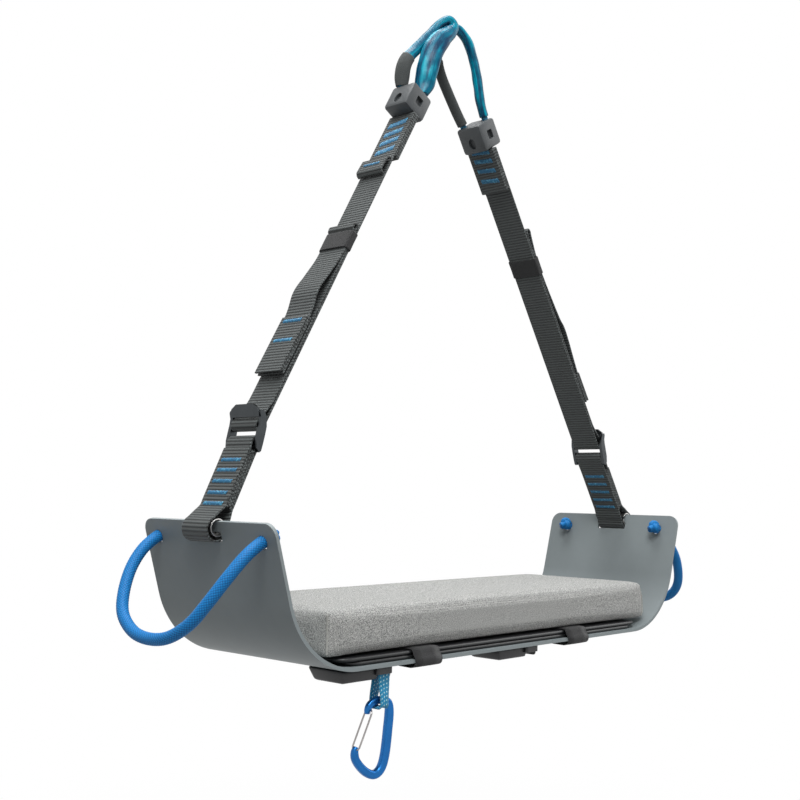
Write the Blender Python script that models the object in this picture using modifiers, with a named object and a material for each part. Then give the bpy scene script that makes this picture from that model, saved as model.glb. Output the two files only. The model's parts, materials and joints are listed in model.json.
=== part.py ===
"""Bosun chair: a bent metal seat pan with a cushion, hung on two adjustable webbing straps.

The origin is the suspension point, where a connector's bar lies inside the top of both eyes.
+Z is up, +X runs along the seat and the front edge faces -Y. Sizes below are millimetres;
in them x is measured from the middle of the seat and z from the underside of the seat pan.
"""

import math

import bmesh
import bpy
from mathutils import Matrix, Vector

MM = 0.001
GAP = 0.3                      # clearance kept between touching pieces
HANG_HEIGHT = 812.0            # suspension point above the underside of the pan

# Seat pan: one bent plate
PAN_WIDTH = 226.0
PAN_THICKNESS = 4.0
PAN_FLAT_HALF = 270.6
PAN_BEND_RADIUS = 102.7        # outer face
PAN_END_ANGLE = math.radians(74.0)
PAN_TOP = 158.2
PAN_CORNER_RADIUS = 14.5
SLOT_LENGTH = 48.5
SLOT_TOP = 11.4                # both measured down from the plate's top edge
SLOT_BOTTOM = 22.4
ROPE_HOLE_DROP = 20.3
ROPE_HOLE_Y = {"left": 90.0, "right": 80.0}
ROPE_HOLE_RADIUS = 7.6

# Boards and cushion
BOARD_HALF_LENGTH = 276.0
BACKING_HALF_LENGTH = 290.0
BOARD_HALF_WIDTH = 107.0
BOARD_BOTTOM = PAN_THICKNESS + GAP
BOARD_HEIGHT = 4.5
BACKING_BOTTOM = BOARD_BOTTOM + BOARD_HEIGHT + GAP
BACKING_HEIGHT = 4.5
CUSHION_BOTTOM = 16.2
CUSHION_EDGE_HEIGHT = 44.0
CUSHION_CROWN = 4.0
CUSHION_HALF_LENGTH = 308.0
CUSHION_HALF_WIDTH = 105.0
CUSHION_DRAW_IN = 3.5
CUSHION_STRAP_WIDTH = 45.0
CUSHION_STRAP_THICKNESS = 1.6
CUSHION_STRAP_X = {"left": -159.0, "right": 134.0}

# Webbing, buckles and keepers
WEBBING_WIDTH = 44.0
WEBBING = 2.5                  # thickness of one layer
GUARD_OUTER = 9.8
GUARD_WALL = 1.4
GUARD_DROP = 6.5               # its axis below the plate's top edge
GUARD_SET_OUT = 2.8            # and outside the plate's middle
GUARD_LENGTH = 46.0
EYE_TURN = 12.6                # radius of the slack turn of webbing round the guard
EYE_SLACK = 1.8                # how far that turn's centre hangs beyond the guard's axis
STACK_START = 24.0             # along the strap, from the guard's axis
STACK_THICKNESS = 12.8
STACK_SHIFT = (-3.3, -0.3)     # its middle from the strap's axis, at its foot and at its head
BAR_RADIUS = 3.0
BAR_SPACING = 18.0
BUCKLE_TILT = math.radians(14.8)
BUCKLE_ARM = 4.6
BUCKLE_ARM_Y = WEBBING_WIDTH / 2 + 0.5
ELASTIC_LENGTH = 25.0
ELASTIC_WALL = 1.3
TAIL_SPACING = WEBBING + 0.5
KEEPER_SIZE = (40.0, 38.0, 37.0)   # along Y, across the strap, along the strap
EYE_FACE = (0.725, 0.688, 0.0) # both eyes hang square to this direction
EYE_DEPTH = 6.5                # half depth of a sleeve along it
EYE_WALL = 1.5
EYE_END_RADIUS = 4.7

# Each strap in its own plane: x outwards from the middle of the seat, z up
STRAPS = {
    "left": {
        "sign": -1, "lower_bar": (341.2, 245.1), "keeper": (84.1, 688.1),
        "lower_stack": 95.0, "elastic": 280.0, "hem": (84.5, 164.0), "fold": 301.0,
        "fold_shape": [(-7.0, 0.0), (0.0, 0.1), (2.3, 1.3), (3.1, 3.0), (2.3, 4.7), (0.0, 5.8),
                       (-5.0, 5.0)],
        "stack": 80.0, "tab": (378.5, 405.0),
        "channels": [(12.0, 10.0), (-7.0, -10.0)], "dark_top": 753.0,
    },
    "right": {
        "sign": 1, "lower_bar": (326.7, 246.1), "keeper": (59.0, 678.5),
        "lower_stack": 92.0, "elastic": 311.0, "hem": (89.5, 136.5), "fold": 354.0,
        "fold_shape": [(-8.0, 0.0), (0.0, 0.4), (6.0, 1.7), (10.0, 4.2), (9.4, 7.4), (5.0, 8.6),
                       (-3.0, 6.8)],
        "stack": 67.0, "tab": None,
        "channels": [(-10.0, 12.0), (12.0, -10.0)], "dark_top": 766.0,
    },
}

# The eyes: routes of the two slings between the keeper's channels, first channel first; the
# last value is the sleeve's half width across its face
EYE_ROUTES = {
    "left": [(-86.0, 9.5, 724.0, 7.5), (-85.0, 8.0, 739.0, 7.5), (-79.0, 7.0, 752.0, 7.5),
             (-66.0, 6.0, 766.0, 8.0), (-50.0, 4.0, 783.0, 8.0), (-33.0, 2.0, 802.0, 7.5),
             (-23.0, -2.0, 813.5, 7.0), (-14.0, -7.0, 818.5, 7.0), (-7.5, -10.5, 811.0, 7.3),
             (-14.0, -12.0, 800.0, 9.0), (-26.0, -12.0, 787.5, 11.0), (-38.0, -12.0, 775.0, 12.5),
             (-46.0, -12.0, 762.0, 12.5), (-52.0, -12.0, 748.0, 12.5), (-58.0, -11.0, 733.0, 12.0),
             (-63.0, -10.0, 717.0, 10.0)],
    "right": [(28.0, 13.0, 705.0, 6.5), (18.0, 13.0, 717.5, 6.5), (6.5, 13.0, 732.5, 6.5),
              (-4.5, 13.0, 748.0, 6.5), (-11.5, 13.0, 763.0, 6.5), (-13.5, 13.0, 779.0, 6.8),
              (-10.5, 12.5, 794.0, 7.0), (-4.0, 11.0, 809.0, 7.0), (5.0, 8.0, 818.5, 7.0),
              (16.0, 4.0, 818.5, 7.0), (25.0, 1.0, 812.0, 7.0), (33.5, -1.0, 802.0, 7.0),
              (40.0, -3.0, 785.0, 7.0), (45.0, -5.0, 766.0, 7.0), (48.0, -7.0, 745.0, 7.0),
              (51.0, -9.0, 722.0, 7.0)],
}

# Rope handles: half of each symmetric route, from the hole to the bottom of the loop
ROPE_RADIUS = 6.7
ROPE_ROUTES = {
    "left": [(388.1, 90.0, 138.6), (409.5, 89.0, 124.5), (427.5, 84.0, 104.0),
             (443.0, 73.0, 79.0), (452.6, 58.0, 58.5), (457.6, 31.0, 43.5), (458.5, 0.0, 39.0)],
    "right": [(388.1, 80.0, 138.6), (409.0, 82.0, 117.5), (424.5, 83.0, 88.0),
              (437.5, 76.0, 56.0), (444.0, 60.0, 36.5), (446.0, 33.0, 28.5), (446.5, 0.0, 27.0)],
}
KNOT_RADIUS = 10.5
KNOT_HEIGHT = 13.0

# Tool holders under the front edge, the accessory loop and its carabiner
HOLDER_SIZE = (76.0, 58.0, 14.0)
HOLDER_X = {"left": -245.0, "centre": 22.0}
HOLDER_Y = -73.0
HOLDER_SLOT_X = 25.0           # the window sits this far to the right of the holder's middle
HOLDER_SLOT_LENGTH = 20.0
HOLDER_SLOT_BACK = -86.0       # the window runs from here out through the front
HOLDER_BAR = 5.0               # diameter of the rail across it
HOLDER_BAR_Y = -97.5
HOLDER_BAR_Z = -8.1
SCREW_X = 26.0
SCREW_Y = -62.0
LOOP_WIDTH = 17.0
LOOP_WEBBING = 2.2
LOOP_BOTTOM = -45.5
LOOP_GATHER = 0.3              # how much narrower it is round the carabiner
LOOP_SPREAD = 3.6              # how far each leg stands out there
CARABINER_BAR = 4.8
CARABINER_TURN = math.radians(-8.0)
GATE_WIRE = 1.1

# Carabiner centreline in its own plane, from the nose over the top, down the spine to the hinge
CARABINER_ROUTE = [(-20.5, -14.5), (-19.5, -9.0), (-16.0, -4.0), (-9.5, -1.0), (-2.0, 0.0),
                   (5.0, -0.9), (9.8, -4.2), (11.4, -10.0), (11.0, -20.0), (9.4, -32.0),
                   (7.6, -46.0), (5.2, -60.0), (1.6, -71.0), (-4.0, -79.5), (-12.0, -82.0),
                   (-21.5, -78.5), (-30.5, -71.0), (-37.0, -62.5), (-38.2, -54.0)]

COLOURS = {
    "plate": ((0.17, 0.21, 0.225), 0.38, 0.85),
    "bare_metal": ((0.62, 0.62, 0.60), 0.3, 1.0),
    "webbing": ((0.035, 0.04, 0.04), 0.8, 0.0),
    "fabric": ((0.45, 0.45, 0.43), 0.95, 0.0),
    "board": ((0.012, 0.013, 0.014), 0.45, 0.0),
    "moulded": ((0.07, 0.075, 0.08), 0.55, 0.0),
    "buckle": ((0.05, 0.055, 0.06), 0.35, 0.6),
    "rope": ((0.005, 0.14, 0.52), 0.7, 0.0),
    "teal": ((0.0, 0.30, 0.42), 0.15, 0.0),
    "blue_webbing": ((0.0, 0.18, 0.36), 0.7, 0.0),
    "anodised": ((0.01, 0.12, 0.42), 0.3, 0.8),
}


def clear_scene():
    for obj in list(bpy.data.objects):
        bpy.data.objects.remove(obj, do_unlink=True)


def make_collections():
    parts = bpy.data.collections.new("bosun_chair")
    cutters = bpy.data.collections.new("cutters")
    bpy.context.scene.collection.children.link(parts)
    bpy.context.scene.collection.children.link(cutters)
    return parts, cutters


def make_materials():
    materials = {}
    for name, (colour, roughness, metallic) in COLOURS.items():
        material = bpy.data.materials.new(name)
        material.use_nodes = True
        shader = material.node_tree.nodes["Principled BSDF"]
        shader.inputs["Base Color"].default_value = (*colour, 1.0)
        shader.inputs["Roughness"].default_value = roughness
        shader.inputs["Metallic"].default_value = metallic
        materials[name] = material
    return materials


clear_scene()
PARTS, CUTTERS = make_collections()
MATERIALS = make_materials()


def world(x, y, z):
    """A point given in seat millimetres, in the part's own frame."""
    return Vector((x, y, z - HANG_HEIGHT)) * MM


def make_pivot(name, point):
    """An empty that stands on a joint's axis."""
    empty = bpy.data.objects.new(name, None)
    empty.location = point
    PARTS.objects.link(empty)
    return empty


def place(obj, material, pivot=None):
    """Link a piece, give it its own material and hang it on its joint's empty."""
    PARTS.objects.link(obj)
    own = MATERIALS[material].copy()
    own.name = obj.name + "_finish"
    obj.data.materials.clear()
    obj.data.materials.append(own)
    if pivot is not None:
        obj.parent = pivot
        obj.matrix_parent_inverse = Matrix.Translation(-pivot.location)
    return obj


def baked(obj):
    """The evaluated shape of an unlinked object as a welded mesh object of the same name."""
    name = obj.name
    bpy.context.scene.collection.objects.link(obj)
    bpy.context.view_layer.update()
    graph = bpy.context.evaluated_depsgraph_get()
    mesh = bpy.data.meshes.new_from_object(obj.evaluated_get(graph))
    matrix = obj.matrix_world.copy()
    bpy.data.objects.remove(obj, do_unlink=True)
    shape = bmesh.new()
    shape.from_mesh(mesh)
    bmesh.ops.remove_doubles(shape, verts=shape.verts, dist=1e-6)
    bmesh.ops.recalc_face_normals(shape, faces=shape.faces)
    shape.to_mesh(mesh)
    shape.free()
    solid = bpy.data.objects.new(name, mesh)
    solid.matrix_world = matrix
    return solid


def as_cutter(obj):
    """Keep a tool solid out of the model."""
    CUTTERS.objects.link(obj)
    obj.hide_render = True
    obj.display_type = "WIRE"
    return obj


def combine(obj, tool, operation):
    modifier = obj.modifiers.new(operation.lower(), "BOOLEAN")
    modifier.operation = operation
    modifier.object = as_cutter(tool)
    return obj


def frame_matrix(centre, x_axis, y_axis):
    """A matrix whose local x and y lie along the given world axes."""
    x_axis, y_axis = Vector(x_axis).normalized(), Vector(y_axis).normalized()
    z_axis = x_axis.cross(y_axis)
    matrix = Matrix((x_axis, y_axis, z_axis)).transposed().to_4x4()
    matrix.translation = centre
    return matrix


def prism(name, outlines, width, matrix, bevel=0.0):
    """A flat outline, with its holes, given in millimetres and thickened both ways."""
    curve = bpy.data.curves.new(name, "CURVE")
    curve.dimensions = "2D"
    curve.fill_mode = "BOTH"
    curve.extrude = (width / 2 - bevel) * MM
    curve.bevel_depth = bevel * MM
    curve.bevel_resolution = 0
    curve.offset = -bevel * MM
    curve.render_resolution_u = 0
    for outline in outlines:
        spline = curve.splines.new("POLY")
        spline.points.add(len(outline) - 1)
        spline.use_cyclic_u = True
        for point, (x, y) in zip(spline.points, outline):
            point.co = (x * MM, y * MM, 0.0, 1.0)
    obj = bpy.data.objects.new(name, curve)
    obj.matrix_world = matrix
    return obj


def tube(name, points, radius, sides=8, origin=None):
    """A round bar or cord through world points, with flat ends."""
    origin = origin or points[0]
    curve = bpy.data.curves.new(name, "CURVE")
    curve.dimensions = "3D"
    curve.bevel_depth = radius * MM
    curve.bevel_resolution = (sides - 4) // 2
    curve.use_fill_caps = True
    curve.render_resolution_u = 0
    spline = curve.splines.new("POLY")
    spline.points.add(len(points) - 1)
    for point, where in zip(spline.points, points):
        point.co = (*(where - origin), 1.0)
    obj = bpy.data.objects.new(name, curve)
    obj.location = origin
    return obj


def smooth_route(points, spacing):
    """Evenly spaced points on a smooth curve through the route's own points."""
    points = [Vector(point) for point in points]
    ends = [2 * points[0] - points[1]] + points + [2 * points[-1] - points[-2]]
    dense = []
    for a, b, c, d in zip(ends, ends[1:], ends[2:], ends[3:]):
        for step in range(16):
            t = step / 16
            dense.append(0.5 * (2 * b + (c - a) * t + (2 * a - 5 * b + 4 * c - d) * t * t
                                + (3 * b - a - 3 * c + d) * t ** 3))
    dense.append(points[-1])
    length = sum((b - a).length for a, b in zip(dense, dense[1:]))
    count = max(2, round(length / spacing))
    even, walked, target = [dense[0]], 0.0, length / count
    for a, b in zip(dense, dense[1:]):
        stretch = (b - a).length
        while walked + stretch >= target and len(even) < count:
            even.append(a.lerp(b, (target - walked) / stretch))
            target += length / count
        walked += stretch
    return even + [dense[-1]]


def arc(cx, cy, radius, start, end, steps):
    """Points of an arc, angles in degrees."""
    turns = [math.radians(start + (end - start) * i / steps) for i in range(steps + 1)]
    return [(cx + radius * math.cos(a), cy + radius * math.sin(a)) for a in turns]


def rounded_rectangle(half_x, half_y, radius, steps=4):
    corners = ((1, 1, 0), (-1, 1, 90), (-1, -1, 180), (1, -1, 270))
    outline = []
    for sx, sy, start in corners:
        outline += arc(sx * (half_x - radius), sy * (half_y - radius), radius,
                       start, start + 90, steps)
    return outline


def cylinder(name, radius, length, matrix, sides=24):
    bpy.ops.mesh.primitive_cylinder_add(vertices=sides, radius=radius * MM, depth=length * MM)
    return unlinked(name, matrix)


def box(name, size, matrix):
    bpy.ops.mesh.primitive_cube_add(size=1.0)
    obj = unlinked(name, matrix)
    obj.data.transform(Matrix.Diagonal((size[0] * MM, size[1] * MM, size[2] * MM, 1.0)))
    return obj


def unlinked(name, matrix):
    """Take a fresh primitive out of the scene's own collection and put it in place."""
    obj = bpy.context.active_object
    for collection in list(obj.users_collection):
        collection.objects.unlink(obj)
    obj.name = name
    obj.matrix_world = matrix
    return obj


# Seat pan

def pan_profile():
    """The underside of one half, from the middle outwards and up, as x and z."""
    radius = PAN_BEND_RADIUS
    points = [(0.0, 0.0)]
    for step in range(13):
        angle = PAN_END_ANGLE * step / 12
        points.append((PAN_FLAT_HALF + radius * math.sin(angle), radius * (1 - math.cos(angle))))
    return points


def pan_top_x():
    """Where the plate's outer face reaches its top edge."""
    x, z = pan_profile()[-1]
    return x + (PAN_TOP - z) / math.tan(PAN_END_ANGLE)


def on_end(drop, inward=0.0):
    """A point on the right-hand end plate: down from its top edge, in from its outer face."""
    along = Vector((math.cos(PAN_END_ANGLE), math.sin(PAN_END_ANGLE)))
    normal = Vector((-along.y, along.x))
    return Vector((pan_top_x(), PAN_TOP)) - along * drop + normal * inward


def end_matrix(sign, y, drop):
    """Local z is the end plate's normal, local x its width and y its slope."""
    x, z = on_end(drop, PAN_THICKNESS / 2)
    slope = Vector((sign * math.cos(PAN_END_ANGLE), 0.0, math.sin(PAN_END_ANGLE)))
    return frame_matrix(world(sign * x, y, z), (0.0, 1.0, 0.0), slope)


def make_seat_pan():
    half_width = PAN_WIDTH / 2
    rows = [(x, z, half_width) for x, z in pan_profile()]
    for step in range(6):
        angle = math.radians(90.0 * step / 5)
        x, z = on_end(PAN_CORNER_RADIUS * (1 - math.sin(angle)))
        rows.append((x, z, half_width - PAN_CORNER_RADIUS * (1 - math.cos(angle))))
    shape = bmesh.new()
    previous = None
    for x, z, half in rows:
        pair = [shape.verts.new(world(x, side * half, z)) for side in (-1, 1)]
        if previous:
            shape.faces.new((previous[0], previous[1], pair[1], pair[0]))
        previous = pair
    mesh = bpy.data.meshes.new("seat_pan")
    shape.to_mesh(mesh)
    shape.free()
    pan = bpy.data.objects.new("seat_pan", mesh)
    mirror = pan.modifiers.new("other_half", "MIRROR")
    mirror.merge_threshold = 1e-5
    solidify = pan.modifiers.new("plate", "SOLIDIFY")
    solidify.thickness = PAN_THICKNESS * MM
    solidify.offset = -1.0
    solidify.use_even_offset = True
    bevel = pan.modifiers.new("broken_edges", "BEVEL")
    bevel.width = 0.7 * MM
    bevel.segments = 1
    bevel.limit_method = "ANGLE"
    bevel.angle_limit = math.radians(50.0)
    through = PAN_THICKNESS * 3
    for sign in (-1, 1):
        slot = rounded_rectangle(SLOT_LENGTH / 2, (SLOT_BOTTOM - SLOT_TOP) / 2, 1.5)
        middle = (SLOT_BOTTOM + SLOT_TOP) / 2
        combine(pan, baked(prism("slot", [slot], through, end_matrix(sign, 0.0, middle))),
                "DIFFERENCE")
        rope_y = ROPE_HOLE_Y["left" if sign < 0 else "right"]
        for y in (-rope_y, rope_y):
            hole = cylinder("rope_hole", ROPE_HOLE_RADIUS, through,
                            end_matrix(sign, y, ROPE_HOLE_DROP))
            combine(pan, hole, "DIFFERENCE")
    for x in screw_places():
        hole = cylinder("screw_hole", 2.8, through,
                        Matrix.Translation(world(x, SCREW_Y, PAN_THICKNESS / 2)), 12)
        combine(pan, hole, "DIFFERENCE")
    return place(pan, "plate")


# Boards, cushion and its two straps

def make_board(name, half_length, bottom, height, corner):
    outline = rounded_rectangle(half_length, BOARD_HALF_WIDTH, corner, 5)
    board = prism(name, [outline], height, Matrix.Translation(world(0, 0, bottom + height / 2)),
                  bevel=1.4)
    return place(board, "board")


def make_cushion():
    """A box form, crowned on top, whose sides draw in between the corners."""
    bpy.ops.mesh.primitive_cube_add(size=2.0)
    cushion = unlinked("cushion", Matrix.Translation(world(0.0, 0.0, CUSHION_BOTTOM)))
    shape = bmesh.new()
    shape.from_mesh(cushion.data)
    cuts = {0: (-0.985, -0.93, -0.6, -0.2, 0.2, 0.6, 0.93, 0.985),
            1: (-0.96, -0.84, -0.4, 0.0, 0.4, 0.84, 0.96), 2: (-0.82, 0.82)}
    for axis, positions in cuts.items():
        normal = [1.0 if i == axis else 0.0 for i in range(3)]
        for position in positions:
            bmesh.ops.bisect_plane(shape, geom=shape.verts[:] + shape.edges[:] + shape.faces[:],
                                   plane_co=[position * n for n in normal], plane_no=normal)
    for vert in shape.verts:
        u, v, w = vert.co
        bow = (1 - u ** 4) * (1 - v ** 4)
        height = (w + 1) / 2
        belly = 1 - w * w
        draw_x = CUSHION_DRAW_IN * (1 - v ** 2) * (1.0 - belly)
        draw_y = CUSHION_DRAW_IN * (1 - u ** 2) * (1.0 - belly)
        x = u * (CUSHION_HALF_LENGTH - draw_x - 1.5 * height)
        y = v * (CUSHION_HALF_WIDTH - draw_y)
        z = height * (CUSHION_EDGE_HEIGHT + CUSHION_CROWN * bow)
        vert.co = Vector((x, y, z)) * MM
    shape.to_mesh(cushion.data)
    shape.free()
    smooth = cushion.modifiers.new("soft", "SUBSURF")
    smooth.levels = 1
    smooth.render_levels = 1
    cushion.data.shade_smooth()
    return place(cushion, "fabric")


def make_cushion_strap(side):
    """A hook-and-loop band round the pan and both boards."""
    top = BACKING_BOTTOM + BACKING_HEIGHT + GAP
    half_height = (top + GAP) / 2
    half_width = PAN_WIDTH / 2 + GAP
    thick = CUSHION_STRAP_THICKNESS
    rings = [rounded_rectangle(half_width + thick, half_height + thick, 3.2, 3),
             rounded_rectangle(half_width, half_height, 1.6, 3)]
    centre = world(CUSHION_STRAP_X[side], 0.0, (top - GAP) / 2)
    band = prism("cushion_strap_" + side, rings, CUSHION_STRAP_WIDTH,
                 frame_matrix(centre, (0, 1, 0), (0, 0, 1)))
    return place(band, "webbing")


# Straps: everything is laid out in a plane with s along the strap and n outwards

class Strap:
    """The two straight runs of one strap and the pivots between them."""

    def __init__(self, side):
        self.side = side
        self.data = STRAPS[side]
        self.sign = self.data["sign"]
        self.guard = on_end(GUARD_DROP, PAN_THICKNESS / 2 - GUARD_SET_OUT)
        self.bar = Vector(self.data["lower_bar"])
        to_bar, to_keeper = self.bar - self.guard, Vector(self.data["keeper"]) - self.bar
        self.lower_run, self.lower_length = to_bar.normalized(), to_bar.length
        self.upper_run, self.keeper = to_keeper.normalized(), to_keeper.length

    def matrix(self, origin, run):
        """Local x runs along the strap, local y points outwards, local z lies along Y."""
        along = Vector((self.sign * run.x, 0.0, run.y))
        outward = Vector((self.sign * run.y, 0.0, -run.x))
        return frame_matrix(world(self.sign * origin.x, 0.0, origin.y), along, outward)

    def lower(self):
        return self.matrix(self.guard, self.lower_run)

    def upper(self):
        return self.matrix(self.bar, self.upper_run)


def make_slot_guard(strap):
    """A rolled liner round the strip above the slot, with its slit inwards."""
    inner = GUARD_OUTER - GUARD_WALL
    slit = 10.0
    outline = arc(0, 0, GUARD_OUTER, -180 + slit, 180 - slit, 26)
    outline += arc(0, 0, inner, 180 - slit, -180 + slit, 26)
    run = Vector((math.cos(PAN_END_ANGLE), math.sin(PAN_END_ANGLE)))
    matrix = strap.matrix(strap.guard, run) @ Matrix.Rotation(math.radians(90.0), 4, "Z")
    return place(prism("slot_guard_" + strap.side, [outline], GUARD_LENGTH, matrix),
                 "bare_metal")


def make_lower_webbing(strap, pivot):
    """A slack eye round the slot guard, its stack of layers, and the fold round the buckle."""
    half, end, bar = STACK_THICKNESS / 2, strap.data["lower_stack"], strap.lower_length
    foot, head = STACK_SHIFT
    fold = BAR_RADIUS + GAP + WEBBING
    outline = arc(-EYE_SLACK, 0, EYE_TURN + WEBBING / 2, 48, 300, 21)
    outline += [(14.0, -11.8), (STACK_START, foot - half), (end, head - half)]
    outline += arc(bar, 0, fold, -90, 90, 10)
    outline += [(end, head + half), (STACK_START, foot + half), (14.0, 7.7)]
    hole = arc(-EYE_SLACK, 0, EYE_TURN - WEBBING / 2, 62, 298, 20)
    hole += [(13.0, -9.2), (20.0, -7.0), (22.0, -3.4), (20.0, 1.0)]
    bar_hole = arc(bar, 0, BAR_RADIUS + GAP, 0, 330, 11)
    piece = prism("lower_webbing_" + strap.side, [outline, hole, bar_hole], WEBBING_WIDTH,
                  strap.lower())
    return place(piece, "webbing", pivot)


def make_buckle(strap, pivot):
    """Ladder buckle: two faceted arms, two bars and a curved thumb tab."""
    base = strap.upper() @ Matrix.Rotation(BUCKLE_TILT, 4, "Z")
    arm = [(-12, -3), (-9, 2.5), (0, 4.6), (9, 4.8), (18, 4.8), (25, 5.5), (31, 8.5), (34, 8),
           (34, 3.5), (28, -1.5), (18, -4.6), (8, -5), (-2, -5), (-10, -4.6)]
    middle = BUCKLE_ARM_Y + BUCKLE_ARM / 2
    name = "buckle_" + strap.side
    arms = [baked(prism(name, [arm], BUCKLE_ARM, base @ Matrix.Translation((0, 0, y * MM))))
            for y in (-middle, middle)]
    buckle = arms[0]
    combine(buckle, arms[1], "UNION")
    for s in (0.0, BAR_SPACING):
        bar = cylinder("bar", BAR_RADIUS, 2 * middle, base @ Matrix.Translation((s * MM, 0, 0)), 16)
        combine(buckle, bar, "UNION")
    combine(buckle, make_thumb_tab(base), "UNION")
    return place(buckle, "buckle", pivot)


def make_thumb_tab(base):
    """Rows across the buckle that curve outwards and narrow to a rounded tip."""
    rows = [(26.0, 6.5, 25.0), (30.0, 7.5, 25.0), (35.0, 9.5, 22.5), (40.0, 10.5, 15.0)]
    shape = bmesh.new()
    previous = None
    for s, n, half in rows:
        row = [shape.verts.new(Vector((s, n, k * half)) * MM) for k in (-1, -0.5, 0, 0.5, 1)]
        if previous:
            for i in range(4):
                shape.faces.new((previous[i], previous[i + 1], row[i + 1], row[i]))
        previous = row
    mesh = bpy.data.meshes.new("thumb_tab")
    shape.to_mesh(mesh)
    shape.free()
    tab = bpy.data.objects.new("thumb_tab", mesh)
    tab.matrix_world = base
    solidify = tab.modifiers.new("thickness", "SOLIDIFY")
    solidify.thickness = 2.8 * MM
    solidify.offset = 0.0
    return baked(tab)


def ribbon(path):
    """Outline of a band; each point is s, n and the half thickness on either side."""
    left, right = [], []
    for i, (s, n, outer, inner) in enumerate(path):
        here = Vector((s, n))
        before = next((Vector(p[:2]) for p in reversed(path[:i])
                       if (Vector(p[:2]) - here).length > 1e-4), here)
        after = next((Vector(p[:2]) for p in path[i + 1:]
                      if (Vector(p[:2]) - here).length > 1e-4), here)
        run = (after - before).normalized()
        normal = Vector((-run.y, run.x))
        left.append(tuple(here + normal * outer))
        right.append(tuple(here - normal * inner))
    return left + right[::-1]


def make_adjustable_strap(strap, pivot):
    """Main run down to the buckle, round its top bar, and the tail up, over and down."""
    data, half = strap.data, WEBBING / 2
    top = strap.keeper - KEEPER_SIZE[2] / 2 - 0.5
    foot = strap.keeper - KEEPER_SIZE[2] / 2 - data["stack"]
    path = [(top, 0.0, 3.5 * WEBBING, half), (foot, 0.0, 3.5 * WEBBING, half),
            (foot, 0.0, half, half)]
    if data["tab"]:
        low, high = data["tab"]
        path += [(high, 0.0, half, half), (high, 0.0, half, 9.0), (low, 0.0, half, 10.5),
                 (low, 0.0, half, half)]
    bar_s, bar_n = BAR_SPACING * math.cos(BUCKLE_TILT), BAR_SPACING * math.sin(BUCKLE_TILT)
    turn = BAR_RADIUS + GAP + half
    path += [(s, 0.0, half, half) for s in (300.0, 150.0, 40.0)]
    for step in range(11):
        angle, slack = math.radians(270 - 18 * step), turn + 0.18 * step
        path.append((bar_s + slack * math.cos(angle), bar_n + slack * math.sin(angle), half, half))
    first = [(s, n, half, half) for s, n in ((23.0, 9.9), (32.0, 7.4), (45.0, 4.4),
                                             (60.0, TAIL_SPACING), (200.0, TAIL_SPACING))]
    fold = data["fold"]
    back = [(fold + ds, TAIL_SPACING + dn, half, half) for ds, dn in data["fold_shape"]]
    elastic = data["elastic"]
    second = [(s, 2 * TAIL_SPACING, half, half) for s in (elastic + 12.0, elastic - 23.0)]
    hem_low, hem_high = data["hem"]
    stack = 1.5 * WEBBING
    hem_n = TAIL_SPACING + half + 1.4 + stack
    middle = (elastic - 23.0 + hem_high) / 2
    second += [(middle + 16.0, hem_n + 1.0, half, half), (middle - 12.0, hem_n + 5.0, half, half),
               (hem_high, hem_n, half, half), (hem_high, hem_n, stack, stack),
               (hem_low + 2.0, hem_n + 0.8, stack, stack), (hem_low, hem_n + 0.8, 2.6, 2.6)]
    piece = prism("adjustable_strap_" + strap.side, [ribbon(path + first + back + second)],
                  WEBBING_WIDTH, strap.upper())
    return place(piece, "webbing", pivot)


def make_elastic_keeper(strap, pivot):
    """A knitted band round the main run and both layers of the tail."""
    s = strap.data["elastic"]
    low = -WEBBING / 2 - 0.6
    high = 2 * TAIL_SPACING + WEBBING / 2 + 0.6
    half_n, half_y = (high - low) / 2, WEBBING_WIDTH / 2 + 0.5
    base = strap.upper() @ Matrix.Translation((s * MM, (low + high) / 2 * MM, 0))
    matrix = base @ Matrix.Rotation(math.radians(90.0), 4, "Y")
    rings = [rounded_rectangle(half_y + ELASTIC_WALL, half_n + ELASTIC_WALL, 2.0, 3),
             rounded_rectangle(half_y, half_n, 0.8, 2)]
    return place(prism("elastic_keeper_" + strap.side, rings, ELASTIC_LENGTH, matrix),
                 "webbing", pivot)


def make_eye_keeper(strap, pivot):
    """A moulded block with a hole for each strand, oval recesses and square windows."""
    size_y, size_n, size_s = KEEPER_SIZE
    base = strap.upper() @ Matrix.Translation((strap.keeper * MM, 0, 0))
    name = "eye_keeper_" + strap.side
    block = box(name, (size_s, size_n, size_y), base)
    bevel = block.modifiers.new("rounding", "BEVEL")
    bevel.width = 4.0 * MM
    bevel.segments = 2
    block = baked(block)
    quarter = Matrix.Rotation(math.radians(90.0), 4, "Y")
    for n, y in strap.data["channels"]:
        at = base @ Matrix.Translation(((size_s / 2 - 2.0) * MM, n * MM, 0)) @ quarter
        at = Matrix.Translation((0, y * MM, 0)) @ at
        combine(block, cylinder("strand_hole", EYE_END_RADIUS + 1.5, 16.0, at, 16), "DIFFERENCE")
    lying = Matrix.Rotation(math.radians(90.0), 4, "X")
    for side in (-1, 1):
        at = base @ Matrix.Translation((-5.0 * MM, side * size_n / 2 * MM, 0)) @ lying
        oval = [(1.35 * a, b) for a, b in arc(0, 0, 5.6, 0, 345, 23)]
        combine(block, baked(prism("oval", [oval], 8.0, at)), "DIFFERENCE")
        at = base @ Matrix.Translation((0, 0, side * size_y / 2 * MM))
        window = rounded_rectangle(6.0, 5.5, 1.5, 2)
        combine(block, baked(prism("window", [window], 9.0, at)), "DIFFERENCE")
    return place(block, "moulded", pivot)


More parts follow.
